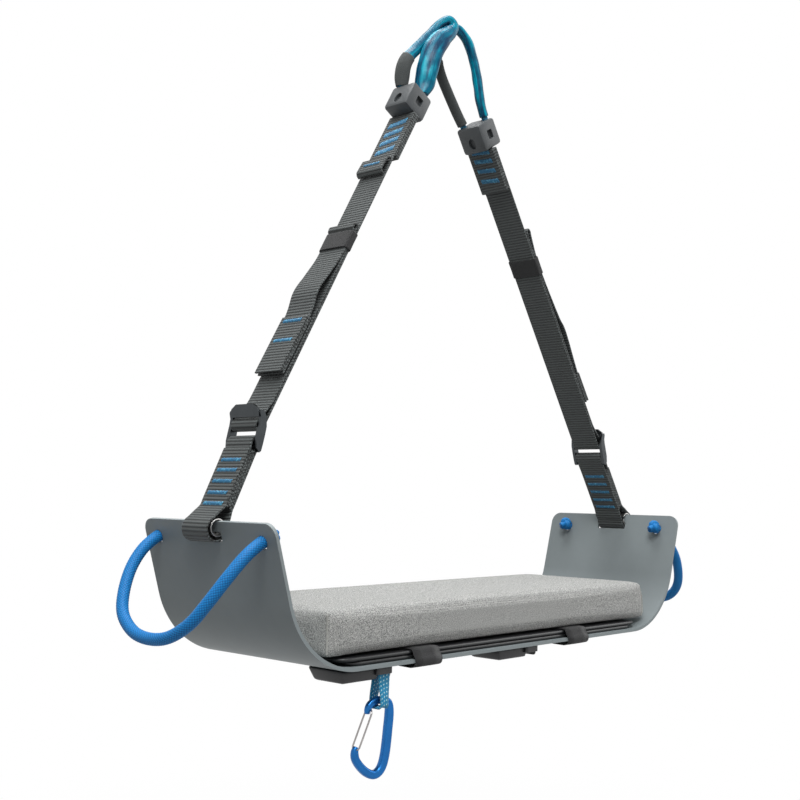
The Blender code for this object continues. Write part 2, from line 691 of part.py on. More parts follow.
def eye_stations(strap, spacing):
    """Stations along the eye: middle, axis across its face, axis through it, half width."""
    ends = []
    base, end_half = strap.upper(), EYE_END_RADIUS + EYE_WALL + GAP
    for n, y in strap.data["channels"]:
        ends.append([])
        for s in (KEEPER_SIZE[2] / 2 - 7.0, KEEPER_SIZE[2] / 2 - 1.0):
            point = base @ (Vector((strap.keeper + s, n, 0.0)) * MM) + Vector((0, y * MM, 0))
            ends[-1].append((*point, end_half * MM))
    middle = [(*world(*point[:3]), point[3] * MM) for point in EYE_ROUTES[strap.side]]
    route = smooth_route(ends[0] + middle + ends[1][::-1], spacing * MM)
    stations = []
    for i, point in enumerate(route):
        run = (route[min(i + 1, len(route) - 1)] - route[max(i - 1, 0)]).to_3d().normalized()
        across = run.cross(Vector(EYE_FACE)).normalized()
        stations.append((point.to_3d(), across, across.cross(run), point.w))
    return stations


def flat_tube(name, stations, trim, wall=0.0, sides=10):
    """An oval bar through the stations, trimmed all round, or with a wall an open sleeve."""
    shape = bmesh.new()
    skins = []
    for inset in ((trim, trim + wall) if wall else (trim,)):
        rings = []
        for middle, across, through, half in stations:
            turns = [2 * math.pi * i / sides for i in range(sides)]
            rings.append([shape.verts.new(middle + across * (half - inset * MM) * math.cos(a)
                                          + through * (EYE_DEPTH - inset) * MM * math.sin(a))
                          for a in turns])
        for ring, after in zip(rings, rings[1:]):
            for i in range(sides):
                shape.faces.new((ring[i - 1], ring[i], after[i], after[i - 1]))
        skins.append(rings)
    for end in (0, -1):
        if wall:
            outer, inner = skins[0][end], skins[1][end]
            for i in range(sides):
                shape.faces.new((outer[i - 1], outer[i], inner[i], inner[i - 1]))
        else:
            shape.faces.new(skins[0][end])
    bmesh.ops.recalc_face_normals(shape, faces=shape.faces)
    mesh = bpy.data.meshes.new(name)
    shape.to_mesh(mesh)
    shape.free()
    return bpy.data.objects.new(name, mesh)


def make_eye(strap, pivot):
    """A sling in a clear sleeve, with a short dark guard over the strand that leads in."""
    side = strap.side
    stations = eye_stations(strap, 4.0)
    top = world(0.0, 0.0, strap.data["dark_top"]).z
    joint = next(i for i, station in enumerate(stations) if station[0].z >= top)
    dark = list(range(4, joint - 2, 3)) + [joint - 1, joint]
    clear = [joint + 1] + list(range(joint + 3, len(stations) - 5, 2)) + [len(stations) - 5]
    whole = [0, 2, 3] + dark + clear + [len(stations) - 3, len(stations) - 1]
    place(flat_tube("eye_sling_" + side, [stations[i] for i in whole], EYE_WALL + GAP),
          "blue_webbing", pivot)
    place(flat_tube("eye_guard_" + side, [stations[i] for i in dark], 0.0, EYE_WALL),
          "webbing", pivot)
    place(flat_tube("eye_sleeve_" + side, [stations[i] for i in clear], 0.0, EYE_WALL),
          "teal", pivot)


def make_strap(side):
    strap = Strap(side)
    swing = make_pivot("strap_pivot_" + side, strap.lower().translation)
    link = make_pivot("buckle_pivot_" + side, strap.upper().translation)
    make_slot_guard(strap)
    make_lower_webbing(strap, swing)
    make_buckle(strap, link)
    make_adjustable_strap(strap, link)
    make_elastic_keeper(strap, link)
    make_eye_keeper(strap, link)
    make_eye(strap, link)


# Rope handles

def make_rope_handle(side):
    sign = STRAPS[side]["sign"]
    half = [Vector((sign * x, y, z)) for x, y, z in ROPE_ROUTES[side]]
    normal = Vector((sign * math.sin(PAN_END_ANGLE), 0.0, -math.cos(PAN_END_ANGLE)))
    x, z = on_end(ROPE_HOLE_DROP, PAN_THICKNESS - 0.3)
    start = Vector((sign * x, ROPE_HOLE_Y[side], z))
    half = [start, start + normal * 7.0] + half[1:]
    route = [Vector((p.x, -p.y, p.z)) for p in half] + half[-2::-1]
    points = smooth_route([world(*p) for p in route], 12.0 * MM)
    place(tube("rope_handle_" + side, points, ROPE_RADIUS, 10), "rope")
    for place_name, y in (("front", -ROPE_HOLE_Y[side]), ("back", ROPE_HOLE_Y[side])):
        make_knot("rope_knot_%s_%s" % (side, place_name), sign, y)


def make_knot(name, sign, y):
    """A stopper knot: a squashed ball that sits flat on the inside of the end plate."""
    bpy.ops.mesh.primitive_uv_sphere_add(segments=12, ring_count=8, radius=1.0)
    matrix = end_matrix(sign, y, ROPE_HOLE_DROP)
    inward = -sign
    lift = (PAN_THICKNESS / 2 + 0.6) * MM
    if (matrix.to_3x3() @ Vector((0, 0, 1))).x * inward < 0:
        lift = -lift
    knot = unlinked(name, matrix)
    shape = bmesh.new()
    shape.from_mesh(knot.data)
    for vert in shape.verts:
        up = (vert.co.z + 0.75) / 1.75
        vert.co.x *= KNOT_RADIUS * MM
        vert.co.y *= KNOT_RADIUS * 0.92 * MM
        vert.co.z = lift + max(0.0, up) * KNOT_HEIGHT * MM * math.copysign(1.0, lift)
    bmesh.ops.recalc_face_normals(shape, faces=shape.faces)
    shape.to_mesh(knot.data)
    shape.free()
    return place(knot, "rope")


# Tool holders, accessory loop and carabiner

def screw_places():
    return [HOLDER_X[name] + side * SCREW_X for name in HOLDER_X for side in (-1, 1)]


def make_holder(name, x):
    """A low moulded block whose front window holds a webbing loop over a round bar."""
    length, depth, height = HOLDER_SIZE
    centre = world(x, HOLDER_Y, -GAP - height / 2)
    holder = box("tool_holder_" + name, HOLDER_SIZE, Matrix.Translation(centre))
    for vert in holder.data.vertices:
        if vert.co.z < 0 and vert.co.y > 0:
            vert.co.y -= 12.0 * MM
    bevel = holder.modifiers.new("rounding", "BEVEL")
    bevel.width = 3.5 * MM
    bevel.segments = 2
    holder = baked(holder)
    slot_x, reach = x + HOLDER_SLOT_X, 30.0
    window = box("window", (HOLDER_SLOT_LENGTH, reach, height * 2),
                 Matrix.Translation(world(slot_x, HOLDER_SLOT_BACK - reach / 2, -height / 2)))
    combine(holder, window, "DIFFERENCE")
    bar_axis = frame_matrix(world(slot_x, HOLDER_BAR_Y, HOLDER_BAR_Z), (0, 1, 0), (0, 0, 1))
    combine(holder, cylinder("bar", HOLDER_BAR / 2, HOLDER_SLOT_LENGTH + 3.0, bar_axis, 16),
            "UNION")
    for side in (-1, 1):
        at = world(x + side * SCREW_X, SCREW_Y, -GAP - height)
        combine(holder, cylinder("recess", 5.6, 9.0, Matrix.Translation(at), 16), "DIFFERENCE")
        combine(holder, cylinder("bore", 2.8, 60.0, Matrix.Translation(at), 12), "DIFFERENCE")
    return place(holder, "board")


def make_screw(index, x):
    """Pan-head screw from below, through the holder and the plate."""
    profile = [(0.0, -13.2), (2.5, -13.2), (2.5, 0.3), (4.9, 0.3), (4.9, 1.6), (3.4, 2.9),
               (0.0, 2.9)]
    mesh = bpy.data.meshes.new("holder_screw")
    outline = [Vector((r, 0.0, h)) * MM for r, h in profile]
    mesh.from_pydata(outline, [(i, i + 1) for i in range(len(outline) - 1)], [])
    screw = bpy.data.objects.new("holder_screw_%d" % index, mesh)
    seat = -GAP - HOLDER_SIZE[2] + 4.5
    screw.matrix_world = (Matrix.Translation(world(x, SCREW_Y, seat))
                          @ Matrix.Rotation(math.pi, 4, "X"))
    turn = screw.modifiers.new("turned", "SCREW")
    turn.steps = 12
    turn.render_steps = 12
    turn.use_merge_vertices = True
    turn.merge_threshold = 1e-5
    turn.use_normal_calculate = True
    return place(screw, "bare_metal")


def make_accessory_loop():
    """A flat webbing ring over the holder's bar, gathered where the carabiner hangs in it."""
    x = HOLDER_X["left"] + HOLDER_SLOT_X
    top = -GAP - 2.5
    half_width = HOLDER_BAR / 2 + 1.2 + LOOP_WEBBING
    half_height = (top - LOOP_BOTTOM) / 2
    rings = [rounded_rectangle(half_width, half_height, 4.4, 4),
             rounded_rectangle(half_width - LOOP_WEBBING, half_height - LOOP_WEBBING, 2.6, 4)]
    centre = world(x, HOLDER_BAR_Y, (top + LOOP_BOTTOM) / 2)
    pivot = make_pivot("loop_pivot", world(x, HOLDER_BAR_Y, HOLDER_BAR_Z))
    loop = baked(prism("accessory_loop", rings, LOOP_WIDTH,
                       frame_matrix(centre, (0, 1, 0), (0, 0, 1))))
    shape = bmesh.new()
    shape.from_mesh(loop.data)
    half = LOOP_WIDTH / 2 * MM
    for cut in (-0.6, -0.2, 0.2, 0.6):
        bmesh.ops.bisect_plane(shape, geom=shape.verts[:] + shape.edges[:] + shape.faces[:],
                               plane_co=(0, 0, cut * half), plane_no=(0, 0, 1))
    for height in (0.35, 0.0, -0.35, -0.65):
        bmesh.ops.bisect_plane(shape, geom=shape.verts[:] + shape.edges[:] + shape.faces[:],
                               plane_co=(0, height * half_height * MM, 0), plane_no=(0, 1, 0))
    for vert in shape.verts:
        low = min(1.0, max(0.0, 0.5 - vert.co.y / (1.3 * half_height * MM)))
        low = low * low * (3 - 2 * low)
        across = vert.co.z / half
        vert.co.x += math.copysign(LOOP_SPREAD * low * MM, vert.co.x)
        vert.co.z = vert.co.z * (1 - LOOP_GATHER * low) - 2.3 * MM * low
        vert.co.y -= 1.6 * MM * across * across * low
    shape.to_mesh(loop.data)
    shape.free()
    return place(loop, "blue_webbing", pivot)


def carabiner_matrix():
    """Local x points to the spine and local z up, with the origin in the middle of the top bar."""
    x = HOLDER_X["left"] + HOLDER_SLOT_X
    bar = LOOP_BOTTOM + LOOP_WEBBING + GAP + CARABINER_BAR + 0.4
    return (Matrix.Translation(world(x, HOLDER_BAR_Y, bar))
            @ Matrix.Rotation(CARABINER_TURN, 4, "Z"))


def make_carabiner():
    matrix = carabiner_matrix()
    swing = make_pivot("carabiner_pivot", matrix.translation)
    route = smooth_route([matrix @ (Vector((x, 0, z)) * MM) for x, z in CARABINER_ROUTE], 4.5 * MM)
    body = tube("carabiner_body", route, CARABINER_BAR, 10, matrix.translation)
    place(body, "anodised", swing)
    hinge, nose = Vector((-38.2, 0, -49.5)), Vector((-20.7, 0, -15.9))
    run = (nose - hinge).normalized()
    side = Vector((0, 4.2, 0))
    wire = [hinge - run * 1.2 - side * 0.35, hinge + run * 4.0 - side, nose - run * 8.0 - side,
            nose - run * 2.2 - side * 0.75, nose - run * 0.4, nose - run * 2.2 + side * 0.75,
            nose - run * 8.0 + side, hinge + run * 4.0 + side, hinge - run * 1.2 + side * 0.35]
    points = smooth_route([matrix @ (p * MM) for p in wire], 3.2 * MM)
    gate_pivot = make_pivot("gate_pivot", matrix @ (hinge * MM))
    place(tube("wire_gate", points, GATE_WIRE, 6, points[0]), "bare_metal", gate_pivot)


def main():
    make_seat_pan()
    make_board("base_board", BOARD_HALF_LENGTH, BOARD_BOTTOM, BOARD_HEIGHT, 16.0)
    make_board("cushion_backing", BACKING_HALF_LENGTH, BACKING_BOTTOM, BACKING_HEIGHT, 18.0)
    make_cushion()
    for side in STRAPS:
        make_cushion_strap(side)
        make_strap(side)
        make_rope_handle(side)
    for name, x in HOLDER_X.items():
        make_holder(name, x)
    for index, x in enumerate(screw_places(), start=1):
        make_screw(index, x)
    make_accessory_loop()
    make_carabiner()


main()
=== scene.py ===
"""Looks of the bosun chair: webbing, clear sleeves, cushion, ropes and hardware on the CAD frame.

Lengths below are millimetres unless a name says otherwise. As in the part's source, x is counted
from the middle of the seat, z from the underside of the pan, and the front edge faces -Y.
"""
import json
from math import copysign, cos, pi, radians, sin, sqrt, tan

import bmesh
import bpy
from mathutils import Matrix, Vector
from mathutils.bvhtree import BVHTree


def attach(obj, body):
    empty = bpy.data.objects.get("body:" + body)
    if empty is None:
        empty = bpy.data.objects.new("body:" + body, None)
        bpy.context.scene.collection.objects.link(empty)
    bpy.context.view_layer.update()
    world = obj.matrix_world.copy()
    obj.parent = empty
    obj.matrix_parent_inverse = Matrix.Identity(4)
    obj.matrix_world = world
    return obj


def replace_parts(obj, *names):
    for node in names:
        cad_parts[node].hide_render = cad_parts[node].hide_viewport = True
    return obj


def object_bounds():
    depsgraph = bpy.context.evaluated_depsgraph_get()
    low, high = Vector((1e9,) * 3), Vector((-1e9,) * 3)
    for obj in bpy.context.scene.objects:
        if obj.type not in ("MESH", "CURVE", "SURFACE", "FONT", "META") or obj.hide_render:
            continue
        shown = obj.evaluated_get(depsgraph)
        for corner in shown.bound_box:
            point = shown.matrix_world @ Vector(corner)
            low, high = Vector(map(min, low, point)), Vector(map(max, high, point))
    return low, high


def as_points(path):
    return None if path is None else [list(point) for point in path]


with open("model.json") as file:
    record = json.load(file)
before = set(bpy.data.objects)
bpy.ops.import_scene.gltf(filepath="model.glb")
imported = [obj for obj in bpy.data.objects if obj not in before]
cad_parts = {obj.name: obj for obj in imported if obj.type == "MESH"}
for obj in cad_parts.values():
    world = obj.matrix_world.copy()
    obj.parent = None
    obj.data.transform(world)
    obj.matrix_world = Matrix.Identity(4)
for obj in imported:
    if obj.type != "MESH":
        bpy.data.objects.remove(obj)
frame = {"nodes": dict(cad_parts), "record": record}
CAD_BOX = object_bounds()

MM = 0.001
HANG_HEIGHT = 812  # suspension point above the underside of the pan
SHARP_ANGLE = radians(30)
JOINTS = {joint["name"]: joint for joint in frame["record"]["behaviour"]["joints"]}

# Camera, fitted to the photograph
CAMERA_PLACE = (-1.1812, -1.0329, -0.6145)
CAMERA_TURN = (1.64321, -0.01278, -0.81294)
CAMERA_LENS = 53.75

# Webbing and eyes
WEBBING_WIDTH = 44
WEBBING = 2.5
GAP = 0.3
EYE_TURN = 12.6  # slack turn round the slot guard
EYE_SLACK = 1.8
LAYERS = (-4.15, -1.6, 0.95, 3.5, 6.1)
STACK_SHIFT = (-4, -1)  # of those layers, at the stack's foot and at its head
BAR_RADIUS = 3
BAR_SPACING = 18
BUCKLE_TILT = radians(14.8)
TAIL_SPACING = 3
RIB_PITCH = 4
YARN_PITCH = 1.3
STITCH_RADIUS = 0.85
STACK_PITCH = 2.52
KEEPER_HALF = 18.5
EYE_FACE = Vector((0.725, 0.688, 0))
EYE_DEPTH = 6.5
EYE_WALL = 1.5
EYE_END_RADIUS = 4.7
STRAPS = {
    "left": {
        "sign": -1, "keeper": (84.1, 688.1), "lower_stack": 95,
        "lower_tacks": (27, 40, 54, 67.5, 80), "elastic": 280, "fold": 301,
        "fold_shape": [(-7, 0), (0, 0.1), (2.3, 1.3), (3.1, 3), (2.3, 4.7), (0, 5.8), (-5, 5)],
        "hem": (84.5, 164), "hem_tacks": (128.5, 156.5), "stack": 73,
        "stack_tacks": (34.5, 50, 65, 81), "stack_tack": (9, 9), "tab": (387.5, 414),
        "channels": [(12, 10), (-7, -10)], "dark_top": 753,
    },
    "right": {
        "sign": 1, "keeper": (59, 678.5), "lower_stack": 92,
        "lower_tacks": (29.5, 42, 56.1, 69.8, 83.3), "elastic": 311, "fold": 354,
        "fold_shape": [(-8, 0), (0, 0.4), (6, 1.7), (10, 4.2), (9.4, 7.4), (5, 8.6),
                       (-3, 6.8)],
        "hem": (89.5, 136.5), "hem_tacks": (102, 124), "stack": 60,
        "stack_tacks": (20.5, 33, 47, 62), "stack_tack": (5, 6.6), "tab": None,
        "channels": [(-10, 12), (12, -10)], "dark_top": 766,
    },
}
EYE_ROUTES = {
    "left": [(-86, 9.5, 724, 9.2), (-85, 8, 739, 9.4), (-79, 7, 752, 9), (-66, 6, 766, 8),
             (-50, 4, 783, 8), (-33, 2, 802, 7.5), (-23, -2, 813.5, 7), (-14, -7, 818.5, 7),
             (-8.5, -10.5, 811, 7.5), (-18, -12, 800, 10.5), (-33, -12, 787.5, 13.5),
             (-44, -12, 775, 15), (-52, -12, 762, 15), (-57, -12, 748, 15), (-61, -11, 733, 14.5),
             (-64, -10, 716, 13)],
    "right": [(28, 13, 705, 6.5), (18, 13, 717.5, 6.5), (6.5, 13, 732.5, 6.5),
              (-4.5, 13, 748, 6.5), (-11.5, 13, 763, 6.5), (-13.5, 13, 779, 6.8),
              (-10.5, 12.5, 794, 7), (-4, 11, 809, 7), (5, 8, 818.5, 7), (16, 4, 818.5, 7),
              (25, 1, 812, 7), (33.5, -1, 802, 7), (40, -3, 785, 7), (45, -5, 766, 7),
              (48, -7, 745, 7), (51, -9, 722, 7)],
}

# Pan, ropes and knots
PAN_WIDTH = 226
PAN_THICKNESS = 4
PAN_FLAT_HALF = 270.6
PAN_BEND_RADIUS = 102.7
PAN_END_ANGLE = radians(74)
PAN_TOP = 158.2
PAN_BEND_END = PAN_FLAT_HALF + PAN_BEND_RADIUS * PAN_END_ANGLE  # in the flat pattern
PAN_HALF = (PAN_BEND_END + (PAN_TOP - PAN_BEND_RADIUS * (1 - cos(PAN_END_ANGLE)))
            / sin(PAN_END_ANGLE))
PAN_CORNER_RADIUS = 14.5
SCREW_HOLE_RADIUS = 2.8
SLOT = (24.25, 11.4, 22.4)  # half its length, and both edges below the top of the plate
ROPE_HOLE_DROP = 20.3
ROPE_HOLE_Y = {"left": 90, "right": 80}
ROPE_HOLE_RADIUS = 7.6
SCREWS = ((-271, -62), (-219, -62), (-4, -62), (48, -62))
ROPE_RADIUS = 6.7
ROPE_ROUTES = {
    "left": [(409.5, 89, 124.5), (427.5, 84, 104), (443, 73, 79), (452.6, 58, 58.5),
             (457.6, 31, 43.5), (458.5, 0, 39)],
    "right": [(411, 83, 120), (430, 86, 92), (444.5, 80, 59), (451.5, 63, 38), (453.5, 34, 29),
              (454, 0, 27)],
}
BRAID_STRANDS = 12
BRAID_DEPTH = 0.45
KNOT_SIZE = 1.95
KNOT_STRAND_RADIUS = 4.6
STUB_RADIUS = 4.4

# Cushion and its straps
CUSHION_BOTTOM = 16.2
CUSHION_HEIGHT = 49
CUSHION_HALF_LENGTH = 308
CUSHION_HALF_WIDTH = 103
PUFF_FRAMES = 16
CUSHION_STRAP_X = {"left": -159, "right": 134}
CUSHION_STRAP_WIDTH = 45

# Accessory loop and carabiner
LOOP_PLACE = (-220, -97.5)
LOOP_TOP = -2.8
LOOP_BOTTOM = -45.5
LOOP_WIDTH = 17
LOOP_HALF = 3.7  # free half width round the holder's rail
LOOP_WEBBING = 2.2
LOOP_GATHER = 0.3
LOOP_SPREAD = 3.6
CARABINER_FRAME = (Matrix.Translation(JOINTS["carabiner_swing"]["pos_m"])
                   @ Matrix.Rotation(radians(-8), 4, "Z"))
CARABINER_ROUTE = [(-18.2, -13.5), (-17.6, -9), (-14.6, -4.2), (-9, -1), (-2, 0), (5.6, -0.7),
                   (10.6, -4), (12.4, -10), (12.2, -20), (10.8, -32), (9.2, -46), (7, -60),
                   (3.6, -71), (-1.8, -77.8), (-9.4, -79.8), (-18.6, -76), (-27.4, -68.4),
                   (-33.4, -60), (-34.4, -52.6), (-32.2, -47.4)]
CARABINER_SECTION = (5.1, 4.9)  # half thickness in its plane and across it
CARABINER_GROOVE = 0.75
GATE_HINGE = (-33.4, -49.2)
GATE_NOSE = (-14.6, -8.8)
GATE_HALF_WIDTH = 6
WIRE_RADIUS = 1


def seat(x, y, z):
    """A point given in seat millimetres, in the row frame."""
    return Vector((x, y, z - HANG_HEIGHT)) * MM


def clamp(value, low=0, high=1):
    return max(low, min(high, value))


# Node materials

class Nodes:
    """A node tree with a few helpers for procedural detail."""

    def __init__(self, tree):
        self.tree = tree

    def feed(self, socket, value):
        """Link a socket to another, or set its number or colour."""
        if isinstance(value, bpy.types.NodeSocket):
            self.tree.links.new(value, socket)
        else:
            socket.default_value = (*value, 1.0) if socket.type == "RGBA" else value

    def node(self, kind, inputs=(), **settings):
        """A new node; inputs holds what feeds each socket, by the socket's name or place."""
        node = self.tree.nodes.new("ShaderNode" + kind)
        for key, value in settings.items():
            setattr(node, key, value)
        for socket, value in dict(inputs).items():
            self.feed(node.inputs[socket], value)
        return node

    def place(self, scale=(1, 1, 1), uv=None):
        """Texture coordinates in metres times scale: the piece's own, or a UV map's."""
        if uv:
            source = self.node("UVMap", uv_map=uv).outputs["UV"]
        else:
            source = self.node("TexCoord").outputs["Object"]
        return self.node("Mapping", {"Vector": source, "Scale": scale}).outputs["Vector"]

    def axes(self):
        """The distances across and along a band, in metres."""
        split = self.node("SeparateXYZ", {"Vector": self.place(uv="band")})
        return split.outputs["X"], split.outputs["Y"]

    def noise(self, scale, detail=3, rough=0.6, uv=None):
        """Noise with so many features a metre, the same every way or one number an axis."""
        vector = self.place(scale if isinstance(scale, tuple) else (scale,) * 3, uv)
        return self.node("TexNoise", {"Vector": vector, "Scale": 1, "Detail": detail,
                                      "Roughness": rough}).outputs["Fac"]

    def wave(self, scale, direction, distortion):
        inputs = {"Vector": self.place(), "Scale": scale, "Distortion": distortion, "Detail": 1,
                  "Detail Scale": 2}
        return self.node("TexWave", inputs, bands_direction=direction).outputs["Fac"]

    def maths(self, operation, *values):
        return self.node("Math", enumerate(values), operation=operation).outputs[0]

    def times(self, first, second):
        return self.maths("MULTIPLY", first, second)

    def plus(self, first, second):
        return self.maths("ADD", first, second)

    def ripple(self, source, pitch):
        """A sine along a distance, with its pitch in millimetres."""
        return self.maths("SINE", self.times(source, 2 * pi / (pitch * MM)))

    def ramp(self, factor, *stops):
        """Colours along a factor; each stop is a position and a colour."""
        node = self.node("ValToRGB", {"Fac": factor})
        elements = node.color_ramp.elements
        while len(elements) < len(stops):
            elements.new(0.5)
        for element, (position, colour) in zip(elements, stops):
            element.position, element.color = position, (*colour, 1.0)
        return node.outputs["Color"]

    def shades(self, factor, colour, *stops):
        """Shades of one colour along a factor; each stop is a position and a brightness."""
        return self.ramp(factor, *((position, shade(colour, bright)) for position, bright in stops))

    def mix(self, factor, first, second):
        inputs = {"Factor": factor, 6: first, 7: second}
        return self.node("Mix", inputs, data_type="RGBA").outputs[2]

    def seen_rays(self):
        """1 for rays that a viewer sees: straight, mirrored or through glass."""
        path = self.node("LightPath").outputs
        seen = self.maths("MAXIMUM", path["Is Camera Ray"], path["Is Glossy Ray"])
        return self.maths("MAXIMUM", seen, path["Is Transmission Ray"])


class Look(Nodes):
    """A Principled material, built up by a finish function below."""

    def __init__(self, name, colour, roughness, **sockets):
        self.material = bpy.data.materials.new(name)
        self.material.use_nodes = True
        super().__init__(self.material.node_tree)
        self.shader = self.tree.nodes["Principled BSDF"]
        self.paint(Base_Color=colour, Roughness=roughness, **sockets)

    def paint(self, **sockets):
        for socket, value in sockets.items():
            self.feed(self.shader.inputs[socket.replace("_", " ")], value)

    def colour(self, source):
        self.paint(Base_Color=source)

    def roughness(self, factor, low, high):
        spread = self.node("MapRange", {"Value": factor, "To Min": low, "To Max": high})
        self.paint(Roughness=spread.outputs["Result"])

    def bump(self, height, depth):
        """Add relief on top of any already there; depth is in millimetres."""
        node = self.node("Bump", {"Height": height, "Distance": depth * MM, "Strength": 1})
        for link in self.shader.inputs["Normal"].links:
            self.feed(node.inputs["Normal"], link.from_socket)
        self.paint(Normal=node.outputs["Normal"])


def shade(colour, factor):
    return tuple(min(1.0, channel * factor) for channel in colour)


def plate_finish(name, colour):
    """Satin anodised sheet with a fine grain, faint cloudiness and a painted highlight on its rim
    faces.
    """
    look = Look(name, colour, 0.45, Specular_IOR_Level=0.25)
    grain = look.noise(1400, 2)
    tint = look.shades(look.noise(9, 4), colour, (0.3, 0.94), (0.7, 1.07))
    # painted highlight: the faces marked rim (the plate's edges) are painted lighter than the sheet
    rim = look.node("Attribute", attribute_name="rim").outputs["Fac"]
    look.colour(look.mix(rim, tint, shade(colour, 1.3)))
    look.roughness(grain, 0.4, 0.52)
    look.bump(grain, 0.02)
    return look.material


def plastic_finish(name, colour, roughness=0.5, grain_size=900, depth=0.05):
    """Moulded plastic or rubber with a fine texture and slight unevenness."""
    look = Look(name, colour, roughness)
    grain = look.noise(grain_size)
    look.colour(look.shades(look.noise(25, 4), colour, (0.3, 0.85), (0.75, 1.25)))
    look.roughness(grain, roughness - 0.08, roughness + 0.1)
    look.bump(grain, depth)
    return look.material


def metal_finish(name, colour, roughness=0.28):
    """Metal with long fine scratches and slight unevenness."""
    look = Look(name, colour, roughness, Metallic=1)
    scratch = look.noise((400, 400, 60))
    look.colour(look.shades(look.noise(60), colour, (0.3, 0.88), (0.7, 1.05)))
    look.roughness(scratch, roughness - 0.08, roughness + 0.12)
    look.bump(scratch, 0.01)
    return look.material


def webbing_finish(name, colour):
    """Cross-ribbed webbing with flecked edges; painted shade between ribs, painted highlights on
    them.
    """
    look = Look(name, colour, 0.7, Sheen_Weight=0.1)
    across, along = look.axes()
    ribs = look.times(along, pi / (RIB_PITCH * MM))
    rib = look.maths("ABSOLUTE", look.maths("SINE", ribs))
    yarns = look.plus(ribs, look.times(across, 2 * pi / (YARN_PITCH * MM)))
    fuzz = look.noise(900, 2, uv="band")
    # painted shade in the gaps between ribs and painted highlights on the rib crests
    painted_rib_shading = look.shades(rib, colour, (0.25, 0.25), (0.62, 1), (1, 2.3))
    cloth = look.mix(look.times(fuzz, 0.3), painted_rib_shading, shade(colour, 1.2))
    inside = (WEBBING_WIDTH / 2 - 0.7) * MM
    side = look.maths("GREATER_THAN", look.maths("ABSOLUTE", across), inside)
    edge = look.shades(look.noise(420, 2), colour, (0.44, 0.3), (0.56, 2.6))
    look.colour(look.mix(side, cloth, edge))
    look.bump(look.plus(rib, look.times(look.maths("SINE", yarns), 0.04)), 0.9)
    look.bump(fuzz, 0.12)
    return look.material


def knit_finish(name, colour):
    """Fine lengthwise knit of the elastic bands and the hook-and-loop straps."""
    look = Look(name, colour, 0.9, Sheen_Weight=0.1)
    across, along = look.axes()
    knit = look.times(look.ripple(across, 1.1), look.ripple(along, 1.6))
    tone = look.plus(look.times(knit, 0.25), look.noise(1500, 2))
    look.colour(look.shades(tone, colour, (0.25, 0.5), (0.8, 1.6)))
    look.bump(tone, 0.25)
    return look.material


def cloth_finish(name):
    """Heather upholstery cloth: plain weave of light and dark flecked yarns."""
    look = Look(name, (0.47, 0.46, 0.43), 0.95, Sheen_Weight=0.2)
    weave_x, weave_y, weave_z = (look.wave(330, axis, 1.5) for axis in "XYZ")
    fleck = look.noise((900, 900, 1500), 2, 0.7)
    slub = look.noise((60, 700, 700), 2)
    tone = look.ramp(fleck, (0.36, (0.06, 0.06, 0.06)), (0.46, (0.27, 0.275, 0.265)),
                     (0.55, (0.47, 0.475, 0.46)), (0.64, (0.74, 0.74, 0.72)))
    look.colour(look.mix(look.times(slub, 0.2), tone, (0.4, 0.405, 0.395)))
    look.bump(look.plus(look.plus(weave_x, weave_y), weave_z), 0.15)
    look.bump(fleck, 0.15)
    return look.material


def rope_finish(name, colour):
    """Braided sheath: painted highlights on the stitches and painted shade in the gaps, read from
    the braid's own relief.
    """
    look = Look(name, colour, 0.6, Sheen_Weight=0.05, Specular_IOR_Level=0.3)
    relief = look.node("Attribute", attribute_name="relief").outputs["Fac"]
    fuzz = look.noise(1600, 2)
    tone = look.plus(relief, look.times(fuzz, 0.25))
    # painted shade where the relief is low and a painted highlight where it is high
    look.colour(look.ramp(tone, (0.1, shade(colour, 0.25)), (0.5, colour), (1, (0.006, 0.24, 0.6))))
    look.bump(fuzz, 0.15)
    return look.material


def sleeve_finish(name):
    """Clear teal tubing with long painted highlight streaks and painted shade between them."""
    look = Look(name, (0, 0.25, 0.38), 0.3, Transmission_Weight=0.15, IOR=1.4,
                Specular_IOR_Level=0.2)
    highlight_streak = look.noise((260, 16, 1), uv="band")
    tone = look.plus(look.times(highlight_streak, 0.7), look.times(look.noise(45), 0.3))
    # painted shade at the darkest stop and painted highlights at the bright cyan stop
    look.colour(look.ramp(tone, (0.4, (0, 0.04, 0.1)), (0.52, (0, 0.15, 0.25)),
                          (0.66, (0, 0.42, 0.55))))
    look.bump(tone, 0.5)
    return look.material


def sling_finish(name, colour):
    """The woven core seen through the sleeve."""
    look = Look(name, colour, 0.7, Sheen_Weight=0.2)
    tone = look.plus(look.times(look.wave(260, "Z", 3), 0.4), look.noise(500))
    look.colour(look.ramp(tone, (0.3, shade(colour, 0.35)), (0.65, colour), (1, (0.1, 0.45, 0.6))))
    look.bump(tone, 0.4)
    return look.material


def accessory_finish(name, blue, white):
    """Blue tape with slanted rows of white ticks along it."""
    look = Look(name, blue, 0.6, Sheen_Weight=0.15)
    across, along = look.axes()
    slant = look.plus(look.times(across, 300), look.times(along, 2 * pi / (4.6 * MM)))
    tick = look.times(look.maths("MAXIMUM", look.ripple(across, 4.2), 0),
                      look.maths("MAXIMUM", look.maths("SINE", slant), 0))
    mask = look.ramp(tick, (0.22, BLACK), (0.4, WHITE))
    fuzz = look.noise(1400, 2)
    ground = look.shades(fuzz, blue, (0.3, 0.6), (0.7, 1.5))
    look.colour(look.mix(mask, ground, white))
    look.bump(tick, 0.35)
    look.bump(fuzz, 0.12)
    return look.material


